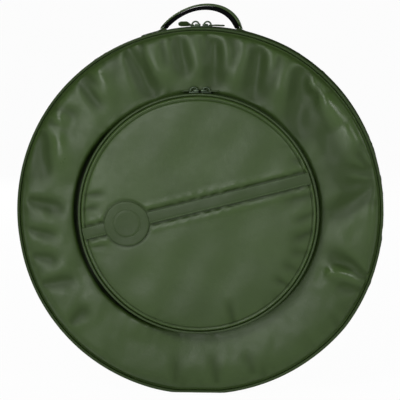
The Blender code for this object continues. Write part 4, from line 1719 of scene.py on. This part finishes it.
    def strip(self) -> None:
        """The raised slanting strip, sewn down along both edges."""
        reach = sqrt((BAG.pocket_panel - 0.0005) ** 2 - (self.strip_lift + self.strip_width / 2) ** 2)
        half, thick = self.strip_width / 2, self.strip_thickness
        back = BAG.pocket_front - 0.0003
        corners = [(half, 0.0), (half - 0.0002, 0.5), (half - 0.0009, 0.72), (half - self.strip_row, 0.66),
                   (half - 0.0036, 0.9), (half * 0.4, 1.0)]
        section = ([(across, lift) for across, lift in corners]
                   + [(-across, lift) for across, lift in reversed(corners)])
        bm = bmesh.new()
        ring = [bm.verts.new((-reach, back - lift * thick, across)) for across, lift in section]
        cap = bm.faces.new(ring)
        steps = self.strip_steps
        bmesh.ops.spin(bm, geom=[cap], cent=(0, 0, 0), axis=(0, 1, 0),
                       dvec=(2 * reach / steps, 0.0, 0.0), angle=0.0, steps=steps)
        bmesh.ops.remove_doubles(bm, verts=bm.verts, dist=1e-6)
        place = (Matrix.Rotation(-radians(self.strip_turn), 4, "Y")
                 @ Matrix.Translation((0.0, 0.0, self.strip_lift)))
        bmesh.ops.transform(bm, matrix=place, verts=bm.verts)
        strip = make_piece("pocket_strip_raised", bm, self.finishes.trim, sharp=60.0)
        points = read_points(strip)
        along, _ = self.from_strip(points)
        points[:, 1] -= self.crowned(points) + 0.00006 * wander(along[:, None], 0.030, 81)
        set_points(strip, points)
        show(strip, ("pocket_strip",), body="pocket_flap")
        places = []
        for side in (-1.0, 1.0):
            for index in range(int(2 * (reach - 0.004) / self.stitch_pitch)):
                spot = place @ Vector((-reach + 0.006 + index * self.stitch_pitch, 0.0,
                                       side * (half - self.strip_row)))
                if spot.xz.length > BAG.pocket_panel - 0.004:
                    continue
                if (spot.xz - Vector((self.badge_x, self.badge_z))).length < self.badge_radius + 0.002:
                    continue
                where = np.array([[spot.x, 0.0, spot.z + BAG.centre_z]])
                spot.y = back - 0.68 * thick - float(self.crowned(where)[0])
                places.append(Matrix.Translation(spot)
                              @ Matrix.Rotation(-radians(self.strip_turn), 4, "Y")
                              @ Matrix.Rotation(radians(5.0), 4, "Y"))
        row = beads("pocket_strip_stitches", places, self.strip_stitch, self.finishes.thread)
        show(row, body="pocket_flap")

    def badge(self) -> None:
        """The round leather badge, with one plain pressed ring."""
        back = BAG.pocket_front - self.badge_sink
        front = back - self.badge_thickness
        edge = self.badge_radius
        outline = [(0.0, back, 2), (edge - 0.0008, back, 0), (edge, back - 0.0006, 0),
                   (edge, front + 0.0009, 0), (edge - 0.0004, front + 0.0004, 0),
                   (edge - 0.0012, front, 5), (0.0236, front - 0.0003, 0), (0.0230, front + 0.0001, 0),
                   (0.0222, front + 0.0001, 0), (0.0216, front - 0.0003, 5), (0.0, front - 0.0005, 0)]
        bm = spun(outline, steps=96, closed=False)
        bmesh.ops.translate(bm, verts=bm.verts, vec=(self.badge_x, 0.0, self.badge_z))
        badge = make_piece("pocket_badge", bm, self.finishes.trim, sharp=35.0)
        points = read_points(badge)
        points[:, 1] -= self.crowned(points)
        set_points(badge, points)
        show(badge, ("badge",), body="pocket_flap")

    def build(self) -> None:
        """Make every piece of the pocket but its zip."""
        self.walls()
        self.face()
        self.strip()
        self.badge()


# Handle, patches and dividers

@dataclass(frozen=True)
class Sewing:
    """Stitches in a box round a patch on the rim."""

    across: int
    end_pitch: float
    pitch: float = 0.0038
    stitch: Triple = (0.0029, 0.0007, 0.0008)

    def sew(self, name: str, node: str, radius: float, turns: Pair, edges: Pair, middle: float,
            thread: bpy.types.Material) -> None:
        """Sew one patch down.

        Args:
            name: start of the piece's name.
            node: not used.
            radius: distance of the stitches from the axis.
            turns: first and last turn.
            edges: y of the two rows along the rim.
            middle: y of the patch's middle.
            thread: their finish.
        """
        places = [place for y in edges for place in rim_row(radius, y, *turns, self.pitch)]
        places += [on_rim(turn, radius, middle + (index - (self.across - 1) / 2) * self.end_pitch, 90.0)
                   for turn in turns for index in range(self.across)]
        show(beads(f"{name}_stitches", places, self.stitch, thread), body="bag_body")


@dataclass
class Handle:
    """Arched handle of leather over webbing, and the patches that its ends are sewn under."""

    finishes: Finishes
    y: float = 0.033
    arch: float = 0.076
    centre_z: float = 0.572
    leather: float = 0.004
    webbing: float = 0.0070
    width: float = 0.022
    hinge_z: float = 0.60636
    tip: float = 0.0025
    taper: float = 0.005
    foot_z: float = 0.6038
    lean: float = 0.25
    sag: float = 0.06
    patch_turn: float = 11.0
    patch_sweep: float = 8.0
    patch_width: float = 0.020
    patch_low: float = 0.3045
    patch_high: float = 0.3070
    foot_turn: float = 11.7
    foot_lift: float = 0.0025
    patch_face: float = 0.0011
    patch_sewing: Sewing = Sewing(4, 0.0038)
    patch_inset: float = 0.0028
    patch_sink: float = 0.00035
    row_stitch: Triple = (0.003, 0.0007, 0.0008)
    row_pitch: float = 0.0042
    row_reach: float = 54.0
    row_offset: float = 0.0086
    leather_turn: float = 66.0
    webbing_turn: float = 62.6
    layer_gap: float = 0.0003

    def narrowed(self, points: Points) -> Points:
        """Taper the ends down to their seat, and let the soft arch sag and lean to one side."""
        points[:, 2] = np.maximum(points[:, 2], self.foot_z)
        above = np.maximum(points[:, 2] - self.hinge_z, 0.0)
        half = np.minimum(self.width / 2, self.tip + (self.width / 2 - self.tip) * above / self.taper)
        points[:, 1] = self.y + (points[:, 1] - self.y) * half / (self.width / 2)
        points[:, 0] += self.lean * above
        points[:, 2] -= self.sag * above
        return points

    def layer(self, name: str, inner: float, outer: float, half: float, crown: float, turn: float,
              material: bpy.types.Material, node: str) -> None:
        """One layer of the arch.

        Args:
            name: the piece's name.
            inner: its inner radius.
            outer: its outer radius.
            half: half its width.
            crown: how far the middle of its outer face stands up.
            turn: its reach each way from the top of the arch.
            material: its finish.
            node: the frame's node that it stands for.
        """
        side = 0.0007
        outline = [(inner, self.y - half + side, 5), (inner, self.y + half - side, 0),
                   (inner + side, self.y + half, 0), (outer - crown - side, self.y + half, 0),
                   (outer - crown, self.y + half - side, 9), (outer - crown, self.y - half + side, 0),
                   (outer - crown - side, self.y - half, 0), (inner + side, self.y - half, 0)]
        bm = spun(outline, -turn, turn, 96)
        for vert in bm.verts:
            radius = vert.co.xz.length
            if radius > outer - crown - side / 2:
                across = (vert.co.y - self.y) / half
                factor = 1.0 + crown * max(0.0, 1.0 - across ** 2) / radius
                vert.co.x *= factor
                vert.co.z *= factor
        bmesh.ops.translate(bm, verts=bm.verts, vec=(0.0, 0.0, self.centre_z - BAG.centre_z))
        piece = make_piece(name, bm, material, sharp=55.0)
        write_uv(piece, lambda points: np.column_stack(
            (np.arctan2(points[:, 0], points[:, 2] - self.centre_z) * self.arch, points[:, 1])))
        move_points(piece, self.narrowed)
        show(piece, (node,), body="handle")

    def patch(self, side: float, node: str, name: str) -> None:
        """The patch over one end, and its box of stitches.

        Args:
            side: 1 on the right, -1 on the left.
            node: the frame's node that it stands for.
            name: the piece's name.
        """
        start = self.patch_turn if side > 0 else -self.patch_turn - self.patch_sweep
        half = self.patch_width / 2
        bm = spun(band_outline(self.patch_low, self.patch_high, self.y - half, self.y + half, 8,
                               0.0008), start, start + self.patch_sweep, 28)
        middle = radians(start + self.patch_sweep / 2)
        reach = radians(self.patch_sweep / 2)
        piece = make_piece(name, bm, self.finishes.patch, sharp=50.0)
        points = read_points(piece)
        radius, turn = radius_and_turn(points)
        corner = np.clip((np.abs(turn - middle) / reach - 0.80) / 0.20, 0.0, 1.0)
        points[:, 1] = self.y + (points[:, 1] - self.y) * (1.0 - 0.16 * corner ** 2)
        edge = np.maximum(np.abs(turn - middle) / reach, np.abs(points[:, 1] - self.y) / half)
        face = radius > self.patch_high - self.patch_face
        drop = np.where(face, 0.0007 * np.clip(edge, 0.0, 1.0) ** 8, 0.0)
        from_foot = (turn - side * radians(self.foot_turn)) * self.patch_high
        from_middle = points[:, 1] - self.y
        rise = self.foot_lift * np.exp(-(from_foot / 0.0075) ** 2 - (from_middle / 0.008) ** 4)
        drop -= np.where(face, rise, 0.0)
        set_points(piece, scale_out(points, 1.0 - drop / radius))
        show(piece, (node,), body="bag_body")
        inset = degrees(self.patch_inset / self.patch_high)
        self.patch_sewing.sew(name, node, self.patch_high - self.patch_sink,
                              (start + inset, start + self.patch_sweep - inset),
                              (self.y - half + self.patch_inset, self.y + half - self.patch_inset),
                              self.y, self.finishes.thread)

    def stitches(self) -> None:
        """A row of stitches along each edge of the handle's leather."""
        places = []
        radius = self.arch - 0.0008
        count = int(2 * radians(self.row_reach) * radius / self.row_pitch)
        for y in (self.y - self.row_offset, self.y + self.row_offset):
            for index in range(count):
                turn = -self.row_reach + 2 * self.row_reach * (index + 0.5) / count
                places.append(Matrix.Translation((0.0, 0.0, self.centre_z - BAG.centre_z))
                              @ on_rim(turn, radius + 0.0003, y, 5.0))
        row = beads("handle_stitches", places, self.row_stitch, self.finishes.thread)
        move_points(row, self.narrowed)
        show(row, body="handle")

    def build(self) -> None:
        """Make the handle and its patches."""
        under = self.arch - self.leather
        self.layer("handle_cover", under + 0.0001, self.arch, self.width / 2, 0.0008,
                   self.leather_turn, self.finishes.panel, "handle_leather")
        self.layer("handle_strap", under - self.layer_gap - self.webbing, under - self.layer_gap,
                   self.width / 2 - 0.0008, 0.0002, self.webbing_turn, self.finishes.webbing,
                   "handle_webbing")
        self.stitches()
        self.patch(1.0, "handle_anchor_right", "handle_patch_right")
        self.patch(-1.0, "handle_anchor_left", "handle_patch_left")


@dataclass
class ZipEnds:
    """Leather patches sewn over the lower ends of the main zip."""

    finishes: Finishes
    seat: float = 0.3043
    thickness: float = 0.0018
    sweep: float = 6.0
    half: float = 0.009
    joint: float = 0.03
    inset: float = 0.5
    row_inset: float = 0.0026
    sewing: Sewing = Sewing(3, 0.0042)

    def build(self) -> None:
        """Make both patches and their stitches."""
        for side, node in ((1.0, "zip_end_right"), (-1.0, "zip_end_left")):
            start = BAG.zip_end + self.joint if side > 0 else -BAG.zip_end - self.sweep
            end = start + self.sweep - self.joint
            bm = spun(band_outline(self.seat, self.seat + self.thickness, BAG.zip_y - self.half,
                                   BAG.zip_y + self.half, 6, 0.0006), start, end, 16)
            piece = make_piece(f"{node}_patch", bm, self.finishes.patch, sharp=50.0)
            show(piece, (node,), body="bag_body")
            top = self.seat + self.thickness + BAG.stitch_lift
            edges = tuple(BAG.zip_y + y * (self.half - self.row_inset) for y in (-1.0, 1.0))
            self.sewing.sew(node, node, top, (start + self.inset, end - self.inset), edges,
                            BAG.zip_y, self.finishes.thread)


@dataclass
class Dividers:
    """Two padded cloth discs between the cymbals, sewn in at the bottom, with bound edges."""

    finishes: Finishes
    fronts: Pair = (0.005633, 0.022367)
    thickness: float = 0.003
    radius: float = 0.2852
    foot_radius: float = 0.2954
    edge: float = 0.009
    sink: float = 0.0004
    binding: float = 0.0008
    round_off: float = 0.0012
    foot_rise: float = 0.045
    quilting: float = 0.05
    quilt_depth: float = 0.00035

    def build(self) -> None:
        """Make both dividers."""
        for index, place in enumerate(("front", "rear")):
            front = self.fronts[index]
            back = front + self.thickness
            near = self.radius - self.edge
            thin, ease, bound = self.sink, self.round_off, near + self.binding
            outline = [(0.0, front + thin, 34), (near, front + thin, 1), (bound, front, 4),
                       (self.radius - ease, front, 1), (self.radius, front + ease, 0),
                       (self.radius, back - ease, 1), (self.radius - ease, back, 4),
                       (bound, back, 1), (near, back - thin, 34), (0.0, back - thin, 0)]
            piece = make_piece(f"divider_{place}", spun(outline, steps=240, closed=False),
                               self.finishes.lining)
            points = read_points(piece)
            radius, _ = radius_and_turn(points)
            lower = np.clip((BAG.fold_z - points[:, 2]) / self.foot_rise, 0.0, 1.0)
            factor = 1.0 + (self.foot_radius / self.radius - 1.0) * lower * (radius / self.radius)
            scale_out(points, factor)
            quilt = (np.cos(points[:, 0] * 2 * pi / self.quilting)
                     * np.cos(points[:, 2] * 2 * pi / self.quilting))
            inside = np.clip((near - radius) / 0.01, 0.0, 1.0)
            face = np.where(points[:, 1] < front + self.thickness / 2, 1.0, -1.0)
            points[:, 1] += face * self.quilt_depth * (1.0 - np.abs(quilt)) * inside
            set_points(piece, press_on_floor(points))
            body = f"divider_{place}"
            show(piece, (f"divider_{place}_leaf", f"divider_{place}_foot"),
                 across=("bag_body", body, BAG.fold_z - BAG.fold_below,
                                   BAG.fold_z + BAG.fold_above))


# Studio

@dataclass(frozen=True)
class Lamp:
    """One soft square lamp: where it stands, its side in metres and its power in watts."""

    name: str
    place: Triple
    size: float
    power: float


@dataclass
class Studio:
    """Pale floor, soft light and the camera at the photograph's angle."""

    turn: float = 4.0
    rise: float = 6.0
    distance: float = 3.6
    frame_width: float = 0.664
    aim_z: float = 0.321
    aim_x: float = 0.0
    sensor: float = 36.0
    floor_reach: float = 90.0
    floor_white: float = 0.97
    haze_low: float = 0.02
    haze_high: float = 0.12
    sky: float = 0.10
    clip: Pair = (0.05, 300.0)
    floor_drop: float = 0.0002
    lit: Triple = (0.0, 0.0, 0.32)
    lamps: tuple[Lamp, ...] = (
        Lamp("key", (1.90, -2.6, 1.20), 0.8, 31.0), Lamp("front", (-1.10, -3.9, 0.62), 1.1, 48.0),
        Lamp("top", (-0.95, -2.7, 2.1), 1.1, 48.0), Lamp("side", (3.0, 0.5, 1.3), 1.2, 16.0),
        Lamp("back", (-1.2, 3.4, 1.2), 1.4, 42.0))

    def material(self, name: str, light: float) -> bpy.types.Material:
        """A white that the camera, and what mirrors or passes light, see nearly bare of shade.

        Args:
            name: the material's name.
            light: share of plain white that those rays see.

        Returns:
            The material.
        """
        graph = Graph(name)
        graph.set(Base_Color=(0.74, 0.74, 0.74, 1.0), Roughness=0.9, Specular_IOR_Level=0.1)
        path = graph.node("LightPath").outputs
        either = graph.node("Math", {0: path["Is Camera Ray"], 1: path["Is Glossy Ray"]},
                            operation="MAXIMUM").outputs[0]
        seen = graph.node("Math", {0: either, 1: path["Is Transmission Ray"]},
                          operation="MAXIMUM").outputs[0]
        share = graph.node("Math", {0: seen, 1: light}, operation="MULTIPLY").outputs[0]
        white = graph.node("Emission", {"Color": (1.0, 1.0, 1.0, 1.0), "Strength": 1.0}).outputs[0]
        mix = graph.node("MixShader", {0: share, 1: graph.shader.outputs[0], 2: white}).outputs[0]
        graph.links.new(mix, graph.nodes["Material Output"].inputs["Surface"])
        return graph.material

    def floor(self) -> None:
        """A large pale floor just under the bag."""
        bm = bmesh.new()
        bmesh.ops.create_grid(bm, x_segments=2, y_segments=2, size=self.floor_reach)
        bmesh.ops.translate(bm, verts=bm.verts, vec=(0.0, 0.0, -self.floor_drop))
        white = self.material("floor_white", self.floor_white)
        floor = make_piece("floor", bm, white, about_axis=False)

    def hang(self, lamp: Lamp) -> None:
        """Put a lamp in the scene, aimed at the bag's middle."""
        light = bpy.data.lights.new(lamp.name, "AREA")
        light.size = lamp.size
        light.energy = lamp.power
        hung = bpy.data.objects.new(lamp.name, light)
        hung.location = lamp.place
        way = Vector(self.lit) - Vector(lamp.place)
        hung.rotation_euler = way.to_track_quat("-Z", "Y").to_euler()
        bpy.context.scene.collection.objects.link(hung)

    def world(self) -> None:
        """Plain surroundings, white at the horizon and dimmer above."""
        world = bpy.data.worlds.new("surroundings")
        world.use_nodes = True
        nodes, links = world.node_tree.nodes, world.node_tree.links
        background = nodes["Background"]
        background.inputs["Color"].default_value = (1.0, 1.0, 1.0, 1.0)
        way = nodes.new("ShaderNodeTexCoord")
        parts = nodes.new("ShaderNodeSeparateXYZ")
        strength = nodes.new("ShaderNodeMapRange")
        strength.interpolation_type = "SMOOTHSTEP"
        for socket, value in zip(("From Min", "From Max", "To Min", "To Max"),
                                 (self.haze_low, self.haze_high, 1.0, self.sky)):
            strength.inputs[socket].default_value = value
        links.new(way.outputs["Generated"], parts.inputs[0])
        links.new(parts.outputs["Z"], strength.inputs["Value"])
        links.new(strength.outputs[0], background.inputs["Strength"])
        bpy.context.scene.world = world

    def camera(self) -> None:
        """The camera at the photograph's angle."""
        data = bpy.data.cameras.new("camera")
        data.sensor_width = self.sensor
        data.lens = self.sensor * self.distance / self.frame_width
        data.clip_start, data.clip_end = self.clip
        camera = bpy.data.objects.new("camera", data)
        turn, rise = radians(self.turn), radians(self.rise)
        back = Vector((sin(turn) * cos(rise), -cos(turn) * cos(rise), sin(rise)))
        camera.location = Vector((self.aim_x, 0.0, self.aim_z)) + back * self.distance
        camera.rotation_euler = (-back).to_track_quat("-Z", "Y").to_euler()
        bpy.context.scene.collection.objects.link(camera)
        bpy.context.scene.camera = camera

    def build(self) -> None:
        """Set the whole scene round the bag."""
        bpy.context.scene.view_settings.view_transform = "Standard"
        self.world()
        self.floor()
        for lamp in self.lamps:
            self.hang(lamp)
        self.camera()


def main() -> None:
    """Build the bag in order, then the studio."""
    logging.basicConfig(level=logging.INFO, format="%(name)s %(message)s")
    finishes = Finishes()
    FrontPanel(finishes).build()
    BackPanel(finishes).build()
    RimWall(finishes).build()
    main_zip = Zip(finishes, "main", BAG.zip_y, 0.303, 0.009, 0.003, BAG.zip_end, "cover", "bag_body",
                   True)
    pocket_zip = Zip(finishes, "pocket", BAG.pocket_zip_y, 0.1965, 0.0065, 0.0025,
                     BAG.pocket_zip_end, "pocket_flap", "cover", False)
    main_zip.build()
    pocket_zip.build()
    SliderPair(finishes, main_zip, 0.026).build((58.0, 6.0))
    SliderPair(finishes, pocket_zip, 0.018).build((4.0, -4.0))
    ZipEnds(finishes).build()
    Pocket(finishes).build()
    Handle(finishes).build()
    Dividers(finishes).build()
    Studio().build()


if __name__ == "__main__":
    main()
